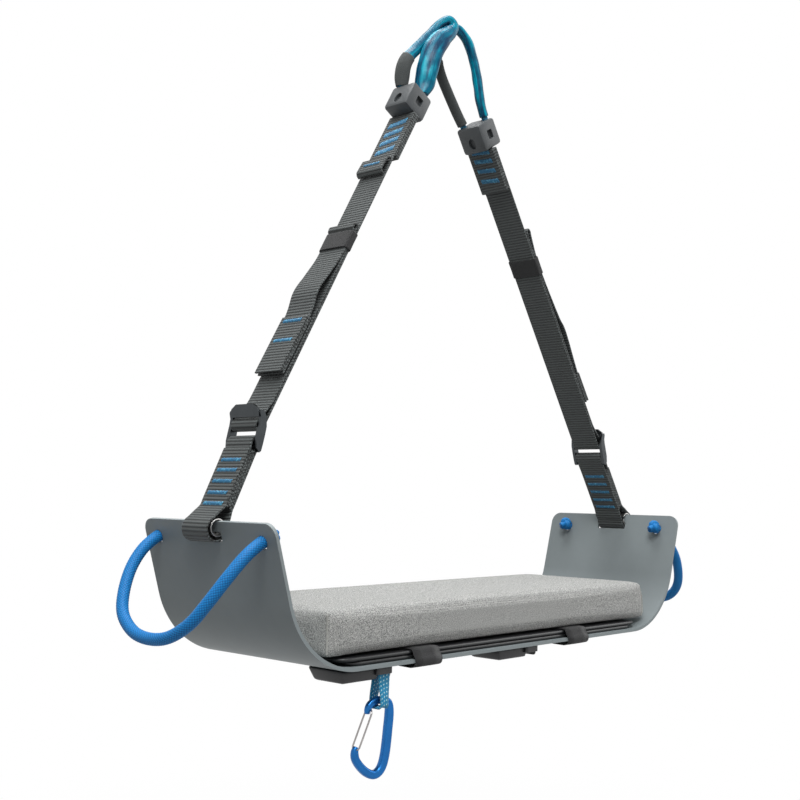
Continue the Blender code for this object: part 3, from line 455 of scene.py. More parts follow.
def thread_finish(name, colour):
    """Twisted thread, lighter in places where highlight flecks are painted."""
    look = Look(name, colour, 0.45, Sheen_Weight=0.3)
    twist = look.noise(1500, 2)
    thread = look.shades(twist, colour, (0.3, 0.7), (0.7, 1.3))
    # painted highlight flecks mixed into the thread's colour
    highlight_flecks = look.ramp(look.noise(260, 1), (0.56, BLACK), (0.64, (0.7, 0.7, 0.7)))
    look.colour(look.mix(highlight_flecks, thread, (0.1, 0.42, 0.6)))
    look.bump(twist, 0.1)
    return look.material


def anodised_finish(name, colour):
    """Dyed metal, with a painted highlight along its convex edges."""
    look = Look(name, colour, 0.3, Metallic=0.75)
    tint = look.shades(look.noise(40), colour, (0.3, 0.9), (0.7, 1.1))
    # painted highlight: convex edges, found by pointiness, are painted a brighter blue
    edge = look.node("NewGeometry").outputs["Pointiness"]
    edge_highlight = look.ramp(edge, (0.55, BLACK), (0.62, WHITE))
    look.colour(look.mix(edge_highlight, tint, shade(colour, 1.5)))
    look.roughness(look.noise(1200, 2), 0.26, 0.38)
    return look.material


BLACK, WHITE = (0, 0, 0), (1, 1, 1)
PLATE = plate_finish("satin_plate", (0.195, 0.222, 0.229))
BOARD = plastic_finish("black_board", (0.012, 0.013, 0.014), 0.32)
HOLDER = plastic_finish("moulded_black", (0.02, 0.02, 0.022), 0.4)
KEEPER = plastic_finish("grey_rubber", (0.05, 0.056, 0.06), 0.5, 1100, 0.08)
BUCKLE = metal_finish("buckle_metal", (0.06, 0.066, 0.07))
BRIGHT = metal_finish("bright_metal", (0.62, 0.61, 0.6))
WIRE = metal_finish("gate_wire", (0.36, 0.34, 0.33), 0.25)
WEB = webbing_finish("strap_webbing", (0.031, 0.036, 0.036))
KNIT = knit_finish("black_knit", (0.014, 0.0142, 0.015))
GUARD_CLOTH = knit_finish("guard_cloth", (0.05, 0.056, 0.056))
CLOTH = cloth_finish("heather_cloth")
ROPE = rope_finish("blue_rope", (0.0015, 0.125, 0.39))
SLEEVE = sleeve_finish("clear_teal")
SLING = sling_finish("sling_blue", (0, 0.11, 0.24))
TICKED = accessory_finish("ticked_tape", (0, 0.22, 0.42), (0.5, 0.82, 0.9))
THREAD = thread_finish("blue_thread", (0.012, 0.15, 0.3))
CLOTH_THREAD = plastic_finish("grey_thread", (0.36, 0.36, 0.34), 0.9, 1500, 0.2)
ANODISED = anodised_finish("anodised_blue", (0.012, 0.14, 0.42))


# Mesh helpers

def linked(name, data):
    obj = bpy.data.objects.new(name, data)
    bpy.context.scene.collection.objects.link(obj)
    return obj


def add(name, mesh, material, body, smooth=True):
    """Link a mesh given in the row frame, and ride it on a CAD body."""
    mesh.name = name
    mesh.materials.clear()
    mesh.materials.append(material)
    if smooth:
        mesh.shade_smooth()
    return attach(linked(name, mesh), body)


def dress(node, word, mesh, material, body, smooth=True):
    """Add a piece that stands for a CAD node and has its name with a word added."""
    obj = add(node + "_" + word, mesh, material, body, smooth)
    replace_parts(obj, node)
    return obj


def refined(node, body, material, edge, segments=2):
    """A copy of a CAD node with merged facets and softened edges that stands for the node."""
    mesh = frame["nodes"][node].data.copy()
    shape = bmesh.new()
    shape.from_mesh(mesh)
    bmesh.ops.remove_doubles(shape, verts=shape.verts, dist=1e-6)
    bmesh.ops.dissolve_limit(shape, angle_limit=radians(1), verts=shape.verts, edges=shape.edges)
    for side in shape.edges:
        side.smooth = len(side.link_faces) < 2 or side.calc_face_angle(0.0) < SHARP_ANGLE
    shape.to_mesh(mesh)
    shape.free()
    bevel = dress(node, "finished", mesh, material, body).modifiers.new("edges", "BEVEL")
    bevel.width, bevel.segments = edge * MM, segments
    bevel.limit_method, bevel.angle_limit = "ANGLE", SHARP_ANGLE
    bevel.harden_normals = True


def resample(dense, spacing):
    """Points a constant distance apart along a polyline."""
    length = line_length(dense)
    count = max(2, round(length / spacing))
    even, walked, target = [dense[0].copy()], 0.0, length / count
    for a, b in zip(dense, dense[1:]):
        stretch = (b - a).length
        while stretch > 0 and walked + stretch >= target and len(even) < count:
            even.append(a.lerp(b, (target - walked) / stretch))
            target += length / count
        walked += stretch
    return even + [dense[-1].copy()]


def line_length(points):
    return sum((b - a).length for a, b in zip(points, points[1:]))


def smooth_route(points, spacing):
    """Evenly spaced points on a smooth curve through the route's own points."""
    points = [Vector(point) for point in points]
    ends = [2 * points[0] - points[1]] + points + [2 * points[-1] - points[-2]]
    dense = []
    for a, b, c, d in zip(ends, ends[1:], ends[2:], ends[3:]):
        for t in (step / 16 for step in range(16)):
            dense.append(0.5 * (2 * b + (c - a) * t + (2 * a - 5 * b + 4 * c - d) * t * t
                                + (3 * b - a - 3 * c + d) * t ** 3))
    return resample(dense + points[-1:], spacing)


def flat(pairs):
    return [Vector((a, b, 0)) for a, b in pairs]


def smooth_plane(path):
    """A smooth flat curve through pairs, in steps of a millimetre."""
    return smooth_route(flat(path), 1)


def arc(cx, cy, radius, start, end, steps):
    angles = [radians(start + (end - start) * i / steps) for i in range(steps + 1)]
    return [(cx + radius * cos(a), cy + radius * sin(a)) for a in angles]


def rounded(x, half_x, half_y, radius, steps=8):
    """A rounded rectangle whose middle is x along the first axis."""
    outline = []
    for sx, sy, start in ((1, 1, 0), (-1, 1, 90), (-1, -1, 180), (1, -1, 270)):
        outline += arc(x + sx * (half_x - radius), sy * (half_y - radius), radius,
                       start, start + 90, steps)
    return outline


def headings(points, closed=False):
    """The direction of travel at each point of a line or a closed loop."""
    before = points[-1:] + points if closed else points[:1] + points
    after = points[1:] + (points[:1] if closed else points[-1:])
    return [(b - a).normalized() for a, b in zip(before, after)]


def frames_along(points):
    """Each point with two sideways axes that don't turn about the line."""
    frames, side = [], headings(points)[0].orthogonal()
    for point, run in zip(points, headings(points)):
        side = (side - run * side.dot(run)).normalized()
        frames.append((point, side, run.cross(side)))
    return frames


def turns(count):
    return [2 * pi * k / count for k in range(count)]


def distances(points):
    """The way to each point of a closed loop and back to the first, in metres."""
    places = [0.0]
    for a, b in zip(points, points[1:] + points[:1]):
        places.append(places[-1] + (b - a).length)
    return places


def skin(rings, closed=False, capped=True, u_scale=None, v_places=None, relief=()):
    """A mesh over rings of points, with a UV map in metres round and along it."""
    shape = bmesh.new()
    layer = shape.loops.layers.uv.new("band")
    height = shape.verts.layers.float.new("relief") if relief else None
    grid = [[shape.verts.new(point) for point in ring] for ring in rings]
    for row, heights in zip(grid, relief):
        for vert, high in zip(row, heights):
            vert[height] = high
    round_count = len(grid[0])
    u_scale = u_scale or distances(rings[len(rings) // 2])
    v_places = v_places or distances([sum(ring, Vector()) / round_count for ring in rings])
    for i in range(len(grid) if closed else len(grid) - 1):
        for j in range(round_count):
            k, m = (i + 1) % len(grid), (j + 1) % round_count
            face = shape.faces.new((grid[i][j], grid[i][m], grid[k][m], grid[k][j]))
            for loop, (u, v) in zip(face.loops, ((j, i), (j + 1, i), (j + 1, i + 1), (j, i + 1))):
                loop[layer].uv = (u_scale[u], v_places[v])
    if capped and not closed:
        shape.faces.new(grid[0][::-1])
        shape.faces.new(grid[-1])
    bmesh.ops.recalc_face_normals(shape, faces=shape.faces)
    mesh = bpy.data.meshes.new("skin")
    shape.to_mesh(mesh)
    shape.free()
    return mesh


def sweep(path, profile, place, closed=False):
    """Rings along a flat path: a profile pair is a crosswise value and an offset to the left."""
    rings = []
    for here, run in zip(path, headings(path, closed)):
        left = Vector((-run.y, run.x, 0))
        rings.append([place(here + left * offset, across) for across, offset in profile])
    return rings


def mirrored(half):
    """A profile's lower half with its upper half."""
    return half + [(-a, -b) for a, b in half]


def round_tube(points, radius, sides, swell=None):
    """A round bar along points; swell gives a factor for each point's share along it."""
    rings = []
    for i, (place, side, up) in enumerate(frames_along(points)):
        size = radius * MM * (swell(i / (len(points) - 1)) if swell else 1)
        rings.append([place + (side * cos(a) + up * sin(a)) * size for a in turns(sides)])
    return skin(rings)


def merged(meshes):
    """One mesh out of several."""
    shape = bmesh.new()
    for mesh in meshes:
        shape.from_mesh(mesh)
        bpy.data.meshes.remove(mesh)
    mesh = bpy.data.meshes.new("merged")
    shape.to_mesh(mesh)
    shape.free()
    return mesh


def evaluated_mesh(obj):
    """A new mesh in an object's present shape, with its modifiers applied."""
    graph = bpy.context.evaluated_depsgraph_get()
    bpy.context.view_layer.update()
    return bpy.data.meshes.new_from_object(obj.evaluated_get(graph))


def bake_modifiers(obj):
    mesh = evaluated_mesh(obj)
    obj.modifiers.clear()
    obj.data = mesh


def thicken(obj, thickness, offset):
    wall = obj.modifiers.new("wall", "SOLIDIFY")
    wall.thickness, wall.offset = thickness * MM, offset


def squarish(value, power):
    """A sine or cosine bent towards the outline of a rounded square."""
    return copysign(abs(value) ** power, value)


# Straps

class Strap:
    """One strap's own plane: s runs up along it and n points outwards."""

    def __init__(self, side):
        self.side, self.data = side, STRAPS[side]
        self.sign = self.data["sign"]
        self.guard = self.pivot(side + "_strap_swing")
        self.bar = self.pivot(side + "_buckle_swing")
        self.lower_run = (self.bar - self.guard).normalized()
        keeper = Vector(self.data["keeper"]) - self.bar
        self.upper_run, self.keeper = keeper.normalized(), keeper.length
        self.lower_body, self.upper_body = side + "_lower_strap", side + "_upper_strap"

    def pivot(self, joint):
        x, _, z = JOINTS[joint]["pos_m"]
        return Vector((abs(x) / MM, z / MM + HANG_HEIGHT))

    def point(self, upper, s, n, y=0):
        origin, run = (self.bar, self.upper_run) if upper else (self.guard, self.lower_run)
        x = origin.x + run.x * s + run.y * n
        return seat(self.sign * x, y, origin.y + run.y * s - run.x * n)


def band(strap, upper, path):
    """A strip of webbing along a path of s and n, with rounded edges and sealed ends."""
    half, half_y = WEBBING / 2 - 0.02, WEBBING_WIDTH / 2
    edge = [(-half_y, -half * 0.35), (-half_y + 0.35, -half * 0.85), (-half_y + 1, -half)]
    across = edge + [(half_y * k / 3, -half) for k in (-2, -1, 0, 1, 2)]
    profile = mirrored(across + [(-y, n) for y, n in edge[::-1]])
    rings = sweep(resample(path, 1), profile, lambda at, y: strap.point(upper, at.x, at.y, y))
    u_scale = [y * MM for y, _ in profile + profile[:1]]
    return skin(rings, u_scale=u_scale, v_places=[i * MM for i in range(len(rings) + 1)])


def tack(strap, upper, s, n, slant=0, width=31, height=4.6, stitches=15):
    """A bar tack: a row of short slanted stitches that dip into the webbing at both ends."""
    meshes = []
    for i in range(stitches):
        y = (i / (stitches - 1) - 0.5) * width
        middle = s + tan(radians(slant)) * y
        long = height * (1 + 0.12 * sin(i * 2.3))
        points = []
        for t in (0, 0.2, 0.5, 0.8, 1):
            out = copysign(1, n) * (0.15 - 1.3 * (2 * t - 1) ** 4)
            points.append(strap.point(upper, middle + long * (t - 0.5), n + out,
                                      (y + 1.1 * (t - 0.5)) * strap.sign))
        meshes.append(round_tube(points, STITCH_RADIUS, 6))
    return merged(meshes)


def make_lower_webbing(strap):
    """The eye round the slot guard, sewn back on itself below the buckle."""
    side, body, end = strap.side, strap.lower_body, strap.data["lower_stack"]
    bar = (strap.bar - strap.guard).length
    fold = BAR_RADIUS + GAP + WEBBING / 2 + 0.8

    def layer(index, s):
        foot, head = STACK_SHIFT
        return s, LAYERS[index] + foot + (head - foot) * (s - 22) / (end - 22)

    path = [layer(4, end), layer(4, 60), layer(4, 34), layer(4, 25), (15, 6.3)]
    path += arc(-EYE_SLACK, 0, EYE_TURN, 55, 304, 36)
    path += [(14, -10.4), layer(0, 25), layer(0, 34), layer(0, end - 4), (bar - 5, -fold)]
    path += arc(bar, 0, fold, -88, 88, 18)
    path += [(bar - 5, fold - 0.1), layer(3, end - 6), layer(3, 60), layer(3, 25)]
    bands = [band(strap, False, smooth_plane(path))]
    for index, low in ((1, 24), (2, 26)):
        bands.append(band(strap, False, flat([layer(index, low), layer(index, end)])))
    dress("lower_webbing_" + side, "cloth", merged(bands), WEB, body)
    tacks = [tack(strap, False, s, layer(index, s)[1] + out)
             for s in strap.data["lower_tacks"] for index, out in ((4, 1.4), (0, -1.4))]
    add("lower_tacks_" + side, merged(tacks), THREAD, body)


def make_adjustable_strap(strap):
    """Main run, the bend round the buckle's top bar, and the tail up, over and down."""
    data, side, body, half = strap.data, strap.side, strap.upper_body, WEBBING / 2
    top = strap.keeper - KEEPER_HALF - 0.5
    foot = strap.keeper - KEEPER_HALF - data["stack"]
    elastic, stack = data["elastic"], 1.5 * WEBBING
    hem_low, hem_high = data["hem"]
    hem_n = TAIL_SPACING + half + 1.4 + stack
    middle = (elastic - 23 + hem_high) / 2
    path = [(s, 0) for s in (top, foot, 380, 300, 150, 60, 34)]
    for step in range(17):
        angle, slack = radians(268 - 11 * step), BAR_RADIUS + GAP + half + 0.11 * step
        path.append((BAR_SPACING * cos(BUCKLE_TILT) + slack * cos(angle),
                     BAR_SPACING * sin(BUCKLE_TILT) + slack * sin(angle)))
    path += [(23, 9.9), (32, 7.4), (45, 4.4)] + [(s, TAIL_SPACING) for s in (60, 110, 200)]
    path += [(data["fold"] + ds, TAIL_SPACING + dn) for ds, dn in data["fold_shape"]]
    path += [(s, 2 * TAIL_SPACING) for s in (elastic + 12, elastic - 23)]
    path += [(middle + 16, hem_n + 1), (middle - 12, hem_n + 5), (hem_high, hem_n),
             (hem_low + 2, hem_n + 0.8)]
    paths = [smooth_plane(path)]
    for n in (-WEBBING - 0.05, WEBBING + 0.05):
        paths.append(flat([(hem_high - 1, hem_n + n), (hem_low, hem_n + 0.8 + n)]))
    for k, longer in ((1, 0), (2, 1.6), (3, 0.5)):
        paths.append(flat([(top, -STACK_PITCH * k), (foot - longer, -STACK_PITCH * k)]))
    slant, height = data["stack_tack"]
    tacks = [tack(strap, True, s, hem_n + stack + 0.5, width=29) for s in data["hem_tacks"]]
    tacks += [tack(strap, True, strap.keeper - offset, n, slant, 28, height)
              for offset in data["stack_tacks"] for n in (half + 0.15, -3.5 * WEBBING - 0.2)]
    if data["tab"]:
        low, high = data["tab"]
        paths.append(flat([(high, 2.6), (high - 1, 5.3), (high - 4, 8), (low + 4, 9.2),
                           (low + 1, 6.8), (low, 3)]))
        tacks.append(tack(strap, True, (low + high) / 2, 10.1, 0, 25, 3.5, 11))
    bands = merged([band(strap, True, path) for path in paths])
    dress("adjustable_strap_" + side, "cloth", bands, WEB, body)
    add("upper_tacks_" + side, merged(tacks), THREAD, body)


def make_elastic(strap):
    """A knitted band round the strap and its tail, slightly puckered along its edges."""
    low, high = -WEBBING / 2 - 0.6, 2 * TAIL_SPACING + WEBBING / 2 + 0.6
    middle, half_n, half_y = (low + high) / 2, (high - low) / 2 + 0.65, WEBBING_WIDTH / 2 + 1.15
    rings = []
    for step in range(26):
        along = (step / 25 - 0.5) * 25
        edge = 0.25 if step in (0, 25) else 0
        ring = []
        for angle in turns(48):
            y = squarish(cos(angle), 0.25) * half_y
            n = squarish(sin(angle), 0.35) * half_n
            pucker = 1 + 0.012 * sin(9 * angle) * abs(along) / 12.5 - edge / half_y
            ring.append(strap.point(True, strap.data["elastic"] + along, middle + n * pucker,
                                    y * pucker))
        rings.append(ring)
    elastic = add("elastic_%s_knit" % strap.side, skin(rings, capped=False), KNIT,
                  strap.side + "_elastic")
    thicken(elastic, 1.1, 0)
    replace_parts(elastic, "elastic_keeper_" + strap.side)


def eye_stations(strap, spacing):
    """Stations along the eye: middle, axis across its face, axis through it, half width."""
    ends, end_half = [], (EYE_END_RADIUS + EYE_WALL + GAP) * MM
    for n, y in strap.data["channels"]:
        ends.append([(*strap.point(True, strap.keeper + s, n, y), end_half)
                     for s in (KEEPER_HALF - 7, KEEPER_HALF - 1)])
    middle = [(*seat(*point[:3]), point[3] * MM) for point in EYE_ROUTES[strap.side]]
    route = smooth_route(ends[0] + middle + ends[1][::-1], spacing * MM)
    stations = []
    for point, run in zip(route, headings([point.to_3d() for point in route])):
        across = run.cross(EYE_FACE).normalized()
        stations.append((point.to_3d(), across, across.cross(run), point.w))
    return stations


def flat_tube(stations, inset, ripple=0, capped=False):
    """An oval bar or open sleeve through the stations, trimmed by inset all round."""
    rings = []
    for i, (middle, across, through, half) in enumerate(stations):
        ring = []
        for a in turns(32):
            wave = sin(i * 0.21 + 2 * a) * sin(i * 0.09)
            trim = (inset + ripple * (wave + 0.5 * sin(5 * a + i * 0.05))) * MM
            ring.append(middle + across * (half - trim) * cos(a)
                        + through * (EYE_DEPTH * MM - trim) * sin(a))
        rings.append(ring)
    return skin(rings, capped=capped)


def make_eye(strap):
    """The sling, its clear sleeve with soft ripples, and the dark guard on one strand."""
    side, body = strap.side, strap.upper_body
    stations = eye_stations(strap, 1.2)
    core = flat_tube(stations, EYE_WALL + 0.7, capped=True)
    dress("eye_sling_" + side, "core", core, SLING, body)
    top = seat(0, 0, strap.data["dark_top"]).z
    joint = next(i for i, station in enumerate(stations) if station[0].z >= top)
    dark = flat_tube(stations[9:joint + 2], -0.4)
    thicken(dress("eye_guard_" + side, "cloth", dark, GUARD_CLOTH, body), 0.8, -1)
    clear = flat_tube(stations[joint - 5:-9], 0.5, 0.3)
    thicken(dress("eye_sleeve_" + side, "clear", clear, SLEEVE, body), 0.9, -1)


def make_strap(side):
    strap = Strap(side)
    make_lower_webbing(strap)
    make_adjustable_strap(strap)
    make_elastic(strap)
    make_eye(strap)
    refined("buckle_" + side, strap.upper_body, BUCKLE, 0.7)
    refined("eye_keeper_" + side, strap.upper_body, KEEPER, 3.2, 4)
    refined("slot_guard_" + side, "seat", BRIGHT, 0.3)


# Seat pan

def plate_point(length, y):
    """Bend the flat pattern: a point on the plate's lower face, and the way in from it."""
    sign, far = copysign(1, length), abs(length) - PAN_FLAT_HALF
    angle = clamp(far / PAN_BEND_RADIUS, 0, PAN_END_ANGLE)
    beyond = max(0, abs(length) - PAN_BEND_END)
    x = min(abs(length), PAN_FLAT_HALF) + PAN_BEND_RADIUS * sin(angle)
    z = PAN_BEND_RADIUS * (1 - cos(angle)) + beyond * sin(angle)
    inward = Vector((-sign * sin(angle), 0, cos(angle)))
    return seat(sign * (x + beyond * cos(angle)), y, z), inward


def pan_outlines():
    """The flat pattern: the plate's edge, then slots, rope holes and screw holes."""
    slot, top, bottom = SLOT
    outlines = [rounded(0, PAN_HALF, PAN_WIDTH / 2, PAN_CORNER_RADIUS)]
    for side, strap in STRAPS.items():
        sign = strap["sign"]
        outlines.append(rounded(sign * (PAN_HALF - (top + bottom) / 2), (bottom - top) / 2,
                                slot, 1.5))
        for y in (-ROPE_HOLE_Y[side], ROPE_HOLE_Y[side]):
            outlines.append(arc(sign * (PAN_HALF - ROPE_HOLE_DROP), y, ROPE_HOLE_RADIUS,
                                0, 352.5, 47))
    return outlines + [arc(x, y, SCREW_HOLE_RADIUS, 0, 345, 23) for x, y in SCREWS]


def filled(outlines):
    """A flat mesh inside the first outline and outside the others."""
    curve = bpy.data.curves.new("pattern", "CURVE")
    curve.dimensions = "2D"
    curve.fill_mode = "BOTH"
    for outline in outlines:
        spline = curve.splines.new("POLY")
        spline.points.add(len(outline) - 1)
        spline.use_cyclic_u = True
        for point, (x, y) in zip(spline.points, outline):
            point.co = (x, y, 0, 1)
    pattern = linked("pattern", curve)
    mesh = evaluated_mesh(pattern)
    bpy.data.objects.remove(pattern, do_unlink=True)
    return mesh


def make_pan():
    """The flat pattern with its slots and holes, bent, thickened and softened."""
    mesh = filled(pan_outlines())
    shape = bmesh.new()
    shape.from_mesh(mesh)
    # the rim layer marks the plate's edge faces; the plate's material paints a highlight on them
    layer = shape.faces.layers.float.new("rim")
    bmesh.ops.remove_doubles(shape, verts=shape.verts, dist=1e-4)
    bmesh.ops.dissolve_limit(shape, angle_limit=0.01, verts=shape.verts, edges=shape.edges)
    steps = 37
    for sign in (-1, 1):
        for step in range(steps + 1):
            place = sign * (PAN_FLAT_HALF + (PAN_BEND_END - PAN_FLAT_HALF) * step / steps)
            bmesh.ops.bisect_plane(shape, geom=shape.verts[:] + shape.edges[:] + shape.faces[:],
                                   plane_co=(place, 0, 0), plane_no=(1, 0, 0), dist=1e-4)
    bmesh.ops.recalc_face_normals(shape, faces=shape.faces)
    if sum(face.normal.z for face in shape.faces) < 0:
        bmesh.ops.reverse_faces(shape, faces=shape.faces[:])
    inner = {}
    for vert in shape.verts[:]:
        place, inward = plate_point(vert.co.x, vert.co.y)
        inner[vert] = shape.verts.new(place + inward * PAN_THICKNESS * MM)
        vert.co = place
    rims = [edge for edge in shape.edges if len(edge.link_faces) == 1]
    for face in shape.faces[:]:
        shape.faces.new([inner[vert] for vert in face.verts])
        face.normal_flip()
    for edge in rims:
        a, b = edge.verts
        shape.faces.new((a, b, inner[b], inner[a]))[layer] = 1
    bmesh.ops.recalc_face_normals(shape, faces=shape.faces)
    for face in shape.faces:
        face.smooth = face[layer] == 0
    corners = [edge for edge in shape.edges if {face[layer] for face in edge.link_faces} == {0, 1}]
    bevel = bmesh.ops.bevel(shape, geom=corners, offset=0.6 * MM, segments=2, profile=0.5,
                            affect="EDGES", clamp_overlap=True)
    for face in bevel["faces"]:
        face[layer], face.smooth = 1, True
    mesh.clear_geometry()
    shape.to_mesh(mesh)
    shape.free()
    pan = dress("seat_pan", "plate", mesh, PLATE, "seat", smooth=False)
    pan.modifiers.new("flat_faces", "WEIGHTED_NORMAL").weight = 90


# Ropes and knots

def braid(points, radius, sides=44):
    """A round sheath whose surface carries the relief of a braid."""
    rings, relief, length = [], [], 0
    pitch = 2 * pi * radius / BRAID_STRANDS
    for i, (place, side, up) in enumerate(frames_along(points)):
        length += (place - points[max(i - 1, 0)]).length
        along = 2 * pi * length / MM / pitch
        ring, heights = [], []
        for a in turns(sides):
            left = abs(sin((BRAID_STRANDS * a + along) / 2))
            right = abs(sin((BRAID_STRANDS * a - along) / 2))
            heights.append((left * right) ** 0.6)
            ring.append(place + (side * cos(a) + up * sin(a))
                        * (radius - BRAID_DEPTH * (1 - heights[-1])) * MM)
        rings.append(ring)
        relief.append(heights)
    return skin(rings, relief=relief)


def make_rope(side):
    """One handle from hole to hole, with its two stopper knots inside the plate."""
    sign, hole_y = STRAPS[side]["sign"], ROPE_HOLE_Y[side]
    hole, inward = plate_point(sign * (PAN_HALF - ROPE_HOLE_DROP), hole_y)
    start = hole + inward * (PAN_THICKNESS - 0.3) * MM
    half = [start, start - inward * 7 * MM]
    half += [seat(sign * x, y, z) for x, y, z in ROPE_ROUTES[side]]
    points = smooth_route([Vector((p.x, -p.y, p.z)) for p in half] + half[-2::-1], 0.6 * MM)
    mesh = braid(points, ROPE_RADIUS, 54)
    rope = dress("rope_handle_" + side, "braid", mesh, ROPE, "seat")
    knots = [make_knot(side, "front", -hole_y, 0.5), make_knot(side, "back", hole_y, 2.4)]
    tuple(points[0])
    line_length(points)
    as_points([tuple(p) for p in points[::8]] + [tuple(points[-1])])


def make_knot(side, place, y, turned):
    """An overhand stopper knot drawn up against the plate, with its short stub."""
    hole, inward = plate_point(STRAPS[side]["sign"] * (PAN_HALF - ROPE_HOLE_DROP), y)
    centre = hole + inward * (PAN_THICKNESS + 0.4) * MM
    across = Vector((0, 1, 0))
    up = inward.cross(across)
    points = []
    for i in range(121):
        t = 2 * pi * i / 120 + turned
        points.append(centre + (across * (sin(t) + 2 * sin(2 * t))
                                + up * (cos(t) - 2 * cos(2 * t))) * KNOT_SIZE * MM
                      + inward * (7.6 - 2.6 * sin(3 * t)) * MM)
    stub = [centre + (inward * a + up * b + across * c) * MM
            for a, b, c in ((7, 0, 0), (12.5, 2, 0), (16.5, 5, 2))]
    mesh = merged([braid(resample(points, 0.6 * MM), KNOT_STRAND_RADIUS),
                   braid(smooth_route(stub, 0.6 * MM), STUB_RADIUS)])
    return dress("rope_knot_%s_%s" % (side, place), "braid", mesh, ROPE, "seat")


# Cushion

def make_cushion():
    """A foam pad in sewn cloth, puffed by a short cloth simulation."""
    bpy.ops.mesh.primitive_cube_add(size=2)
    pad = bpy.context.active_object
    pad.name = "cushion_padding"
    halves = Vector((CUSHION_HALF_LENGTH, CUSHION_HALF_WIDTH, CUSHION_HEIGHT / 2)) * MM
    centre = seat(0, 0, CUSHION_BOTTOM + CUSHION_HEIGHT / 2)
    pad.data.transform(Matrix.Diagonal((*halves, 1)))
    pad.data.transform(Matrix.Translation(centre))
    rounding = pad.modifiers.new("rounding", "BEVEL")
    rounding.width, rounding.segments = 3.4 * MM, 3
    remesh = pad.modifiers.new("remesh", "REMESH")
    remesh.mode, remesh.voxel_size = "VOXEL", 3.7 * MM
    bake_modifiers(pad)
    puff(pad, 1.6, 1.4)
    for vert in pad.data.vertices:
        u = clamp((vert.co.x - centre.x) / halves.x, -1)
        v = clamp(vert.co.y / halves.y, -1)
        w = (vert.co.z - centre.z) / halves.z
        top = clamp((w + 1) / 2)
        vert.co.z += 2.4 * MM * top * (1 - u ** 4) * (1 - v ** 4)
        vert.co.y -= 1.2 * MM * v * (1 - u * u) * (1 - w * w * 0.5)
        low = max(0, 1 - ((w + 0.25) / 0.8) ** 2)
        vert.co.x += (4.5 * low - 4 * top * top) * MM * max(0, u) ** 8
        vert.co.z = max(vert.co.z, seat(0, 0, CUSHION_BOTTOM).z)
    finer = pad.modifiers.new("finer", "SUBSURF")
    finer.levels = finer.render_levels = 1
    pad.data.materials.clear()
    pad.data.materials.append(CLOTH)
    pad.data.shade_smooth()
    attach(pad, "seat")
    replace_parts(pad, "cushion")
    return pad


def puff(obj, pressure, cap):
    """Blow a closed mesh up with cloth, and keep each point within cap millimetres."""
    rest = [vert.co.copy() for vert in obj.data.vertices]
    cloth = obj.modifiers.new("puff", "CLOTH")
    cloth.settings.use_pressure = True
    cloth.settings.uniform_pressure_force = pressure
    cloth.settings.effector_weights.gravity = 0
    cloth.settings.tension_stiffness = cloth.settings.compression_stiffness = 25
    cloth.settings.bending_stiffness = 1.5
    cloth.point_cache.frame_start, cloth.point_cache.frame_end = 1, PUFF_FRAMES
    for number in range(1, PUFF_FRAMES + 1):
        bpy.context.scene.frame_set(number)
    bake_modifiers(obj)
    bpy.context.scene.frame_set(1)
    for vert, before in zip(obj.data.vertices, rest):
        move = vert.co - before
        if move.length > cap * MM:
            vert.co = before + move.normalized() * cap * MM


def make_cushion_seams(pad):
    """Raised seams down the pad's four corners, laid on the cloth."""
    cloth = BVHTree.FromPolygons([vert.co for vert in pad.data.vertices],
                                 [face.vertices for face in pad.data.polygons])
    seams = []
    for u, v in ((-1, -1), (-1, 1), (1, -1), (1, 1)):
        line = []
        for step in range(19):
            height = CUSHION_BOTTOM + 2.5 + (CUSHION_HEIGHT - 6) * step / 18
            start, inside = (seat(u * (CUSHION_HALF_LENGTH + out), v * (CUSHION_HALF_WIDTH + out),
                                  height) for out in (40, -20))
            hit = cloth.ray_cast(start, (inside - start).normalized())[0]
            if hit is not None:
                line.append(hit)
        seams.append(round_tube(smooth_route(line, 1.2 * MM), 1.2, 8,
                                lambda t: 1 + 0.2 * sin(60 * t)))
    add("cushion_seams", merged(seams), CLOTH_THREAD, "seat")


def make_cushion_strap(side):
    """A hook-and-loop band round the pan and boards, slack under the pan."""
    half = CUSHION_STRAP_WIDTH / 2
    path = [(0, 14.9), (60, 14.9), (105, 14.9), (107.8, 14.4), (109.2, 12.6), (110.6, 9),
            (112.8, 5.6), (114.2, 4.2), (114.5, 2), (114, -1.4), (112, -4), (107, -5.4), (90, -5),
            (60, -3.4), (0, -2)]
    path += [(-y, z) for y, z in path[-2:0:-1]]
    profile = [(-1, 0.6), (-0.97, -0.6), (-0.4, -0.72), (0.4, -0.72), (0.97, -0.6), (1, 0.6),
               (0.4, 0.72), (-0.4, 0.72)]
    rings = sweep(resample(flat(path + path[:1]), 2)[:-1], profile, lambda at, share: seat(
        CUSHION_STRAP_X[side] + share * half, at.x, at.y), closed=True)
    dress("cushion_strap_" + side, "tape", skin(rings, closed=True), KNIT, "seat")


# Holders, accessory loop and carabiner

def make_holder_lip(name, x):
    """The moulded guard in front of a holder's rail: it hides the top of anything hung there."""
    left, right, front, back, high, low = -13, 9.5, -105.6, -101.6, -0.5, -8.6
    path = [(left, back), (left, front + 1.5), (left + 1.5, front), (0, front),
            (right - 1.5, front), (right, front + 1.5), (right, back)]
    profile = [(high - 0.4, -0.75), (high, -0.45), (high, 0.45), (high - 0.4, 0.75),
               (low + 0.6, 0.75), (low, 0.45), (low, -0.45), (low + 0.6, -0.75)]
    rings = sweep(smooth_plane(path), profile, lambda at, z: seat(x + at.x, at.y, z))
    add(name, skin(rings), HOLDER, "seat")


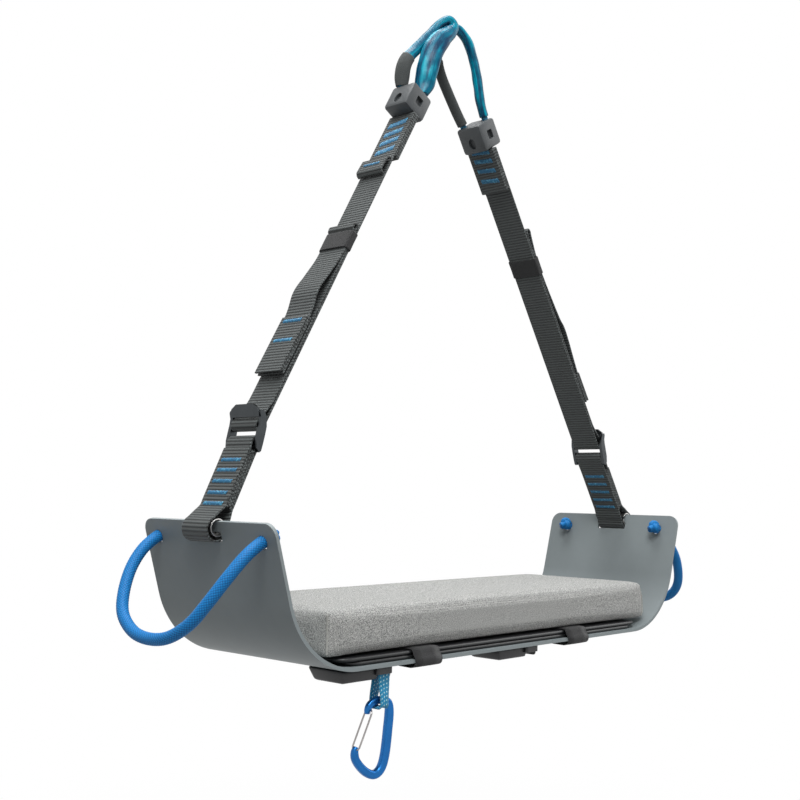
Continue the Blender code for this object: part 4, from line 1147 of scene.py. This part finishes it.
def make_accessory_loop():
    """A tape loop, gathered and spread where the carabiner pulls it down."""
    x, y = LOOP_PLACE
    half_w, half_h = LOOP_HALF + LOOP_WEBBING / 2, (LOOP_TOP - LOOP_BOTTOM - LOOP_WEBBING) / 2
    outline = rounded(0, half_w, half_h, 3.4, 6)
    loop = resample(flat(outline + outline[:1]), 0.9)[:-1]
    profile = mirrored([(-1, -0.2), (-0.96, -0.5), (-0.5, -0.5), (0, -0.5), (0.5, -0.5),
                        (0.96, -0.5), (1, -0.2)])
    rings = []
    for here, run in zip(loop, headings(loop, closed=True)):
        ring = []
        for a, b in profile:
            at = here + Vector((-run.y, run.x, 0)) * b * (LOOP_WEBBING - 0.1)
            low = clamp(0.5 - at.y / (1.3 * half_h))
            low = low * low * (3 - 2 * low)
            at.x += copysign(LOOP_SPREAD * low, here.x)
            across = a * LOOP_WIDTH / 2 * (1 - LOOP_GATHER * low) - 2.3 * low
            ring.append(seat(x + across, y + at.x,
                             (LOOP_TOP + LOOP_BOTTOM) / 2 + at.y - 1.6 * a * a * low))
        rings.append(ring)
    u_scale = [k * 0.0035 for k in range(len(profile) + 1)]
    mesh = skin(rings, closed=True, u_scale=u_scale)
    dress("accessory_loop", "tape", mesh, TICKED, "accessory_loop")


def make_carabiner():
    """Forged body: flat flanks with a shallow groove, rounded bearing sides, a keyed nose."""
    route = smooth_route([(x, 0, z) for x, z in CARABINER_ROUTE], 0.8)
    profile = [(squarish(cos(a), 0.75), squarish(sin(a), 0.75)) for a in turns(28)]
    thick, wide = CARABINER_SECTION
    rings = []
    for i, (here, run) in enumerate(zip(route, headings(route))):
        side = Vector((run.z, 0, -run.x))
        share = i / (len(route) - 1)
        ends = min(1, share / 0.05, (1 - share) / 0.05)
        bulk = 0.74 + 0.26 * sin(pi * share) ** 0.5
        bulk *= 0.9 + 0.1 * clamp((share - 0.2) / 0.1)
        size = bulk * (0.72 + 0.28 * sqrt(ends))
        ring = []
        for a, b in profile:
            groove = CARABINER_GROOVE * max(0, 1 - abs(a) * 2.6) * clamp(ends * 4 - 3)
            at = here + side * a * thick * size
            depth = b * wide * size
            if abs(b) > 0.3:
                depth = copysign(abs(depth) - groove, b)
            ring.append(CARABINER_FRAME @ (Vector((at.x, depth, at.z)) * MM))
        rings.append(ring)
    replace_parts(add("carabiner_forged", skin(rings), ANODISED, "carabiner"), "carabiner_body")


def make_gate():
    """A bent wire gate: two legs from the hinge that close in a flattened loop at the nose."""
    hinge, nose = (Vector((x, 0, z)) for x, z in (GATE_HINGE, GATE_NOSE))
    run, side = (nose - hinge).normalized(), Vector((0, -GATE_HALF_WIDTH, 0))
    leg = [(hinge, -1.2, 0.4), (hinge, 1, 0.9), (hinge, 5, 1), (nose, -9, 1), (nose, -3, 0.88),
           (nose, -0.4, 0.45)]
    wire = [end + run * far + side * out for end, far, out in leg] + [nose]
    wire += [end + run * far - side * out for end, far, out in leg[::-1]]
    points = smooth_route([CARABINER_FRAME @ (p * MM) for p in wire], 0.8 * MM)
    dress("wire_gate", "bent", round_tube(points, WIRE_RADIUS, 12), WIRE, "gate")


# Staging

def make_floor():
    """A floor that looks white to the camera and less bright to the light that it sends up."""
    mesh = bpy.data.meshes.new("floor")
    size, z = 30, CAD_BOX[0][2] - 0.5
    corners = [(-size, -size, z), (size, -size, z), (size, size, z), (-size, size, z)]
    mesh.from_pydata(corners, [], [(0, 1, 2, 3)])
    linked("floor", mesh)
    paint = Look("floor_white", (0.3, 0.3, 0.3), 0.7)
    glow = paint.node("Emission", {"Color": WHITE, "Strength": 1})
    far = paint.node("VectorMath", {0: paint.node("NewGeometry").outputs["Position"]},
                     operation="LENGTH")
    fade = paint.node("MapRange", {"Value": far.outputs["Value"], "From Min": 1.1,
                                   "From Max": 2.6, "To Min": 0.92},
                      interpolation_type="SMOOTHSTEP")
    share = paint.times(paint.seen_rays(), fade.outputs["Result"])
    blend = paint.node("MixShader", {"Fac": share, 1: paint.shader.outputs["BSDF"],
                                     2: glow.outputs["Emission"]})
    paint.feed(paint.tree.nodes["Material Output"].inputs["Surface"], blend.outputs["Shader"])
    mesh.materials.append(paint.material)


def make_world():
    """White where a viewer sees it, and a soft grey light elsewhere."""
    world = bpy.data.worlds.new("studio")
    bpy.context.scene.world = world
    world.use_nodes = True
    sky = Nodes(world.node_tree)
    strength = sky.node("MapRange", {"Value": sky.seen_rays(), "To Min": 0.31, "To Max": 1})
    background = sky.tree.nodes["Background"]
    sky.feed(background.inputs["Color"], WHITE)
    sky.feed(background.inputs["Strength"], strength.outputs["Result"])


def add_lamp(name, place, size, power):
    lamp = bpy.data.lights.new(name, "AREA")
    lamp.size, lamp.energy = size, power
    obj = linked(name, lamp)
    obj.location = place
    aim = seat(0, 0, 150) - obj.location
    obj.rotation_euler = aim.to_track_quat("-Z", "Y").to_euler()


def make_camera():
    camera = bpy.data.cameras.new("photo_view")
    camera.lens, camera.sensor_width, camera.sensor_fit = CAMERA_LENS, 36, "HORIZONTAL"
    camera.clip_end = 60
    bpy.context.scene.camera = linked("photo_view", camera)
    bpy.context.scene.camera.location = CAMERA_PLACE
    bpy.context.scene.camera.rotation_euler = CAMERA_TURN


def main():
    bpy.context.scene.view_settings.view_transform = "Standard"
    make_camera()
    for side in STRAPS:
        make_rope(side)
    for side in STRAPS:
        make_strap(side)
        make_cushion_strap(side)
    make_pan()
    for board in ("base_board", "cushion_backing"):
        refined(board, "seat", BOARD, 0.8)
    for name, x in (("left", -220), ("centre", 47)):
        refined("tool_holder_" + name, "seat", HOLDER, 0.7)
        make_holder_lip("holder_lip_" + name, x)
    for number in range(1, 5):
        refined("holder_screw_%d" % number, "seat", BRIGHT, 0.2)
    make_cushion_seams(make_cushion())
    make_accessory_loop()
    make_carabiner()
    make_gate()
    make_floor()
    make_world()
    add_lamp("key", (-1.4, -1.4, 2), 1.6, 92)
    add_lamp("fill", (2.2, -1.3, 0.6), 2, 22)
    add_lamp("top", (0, 0.3, 2.1), 1.4, 52)


main()
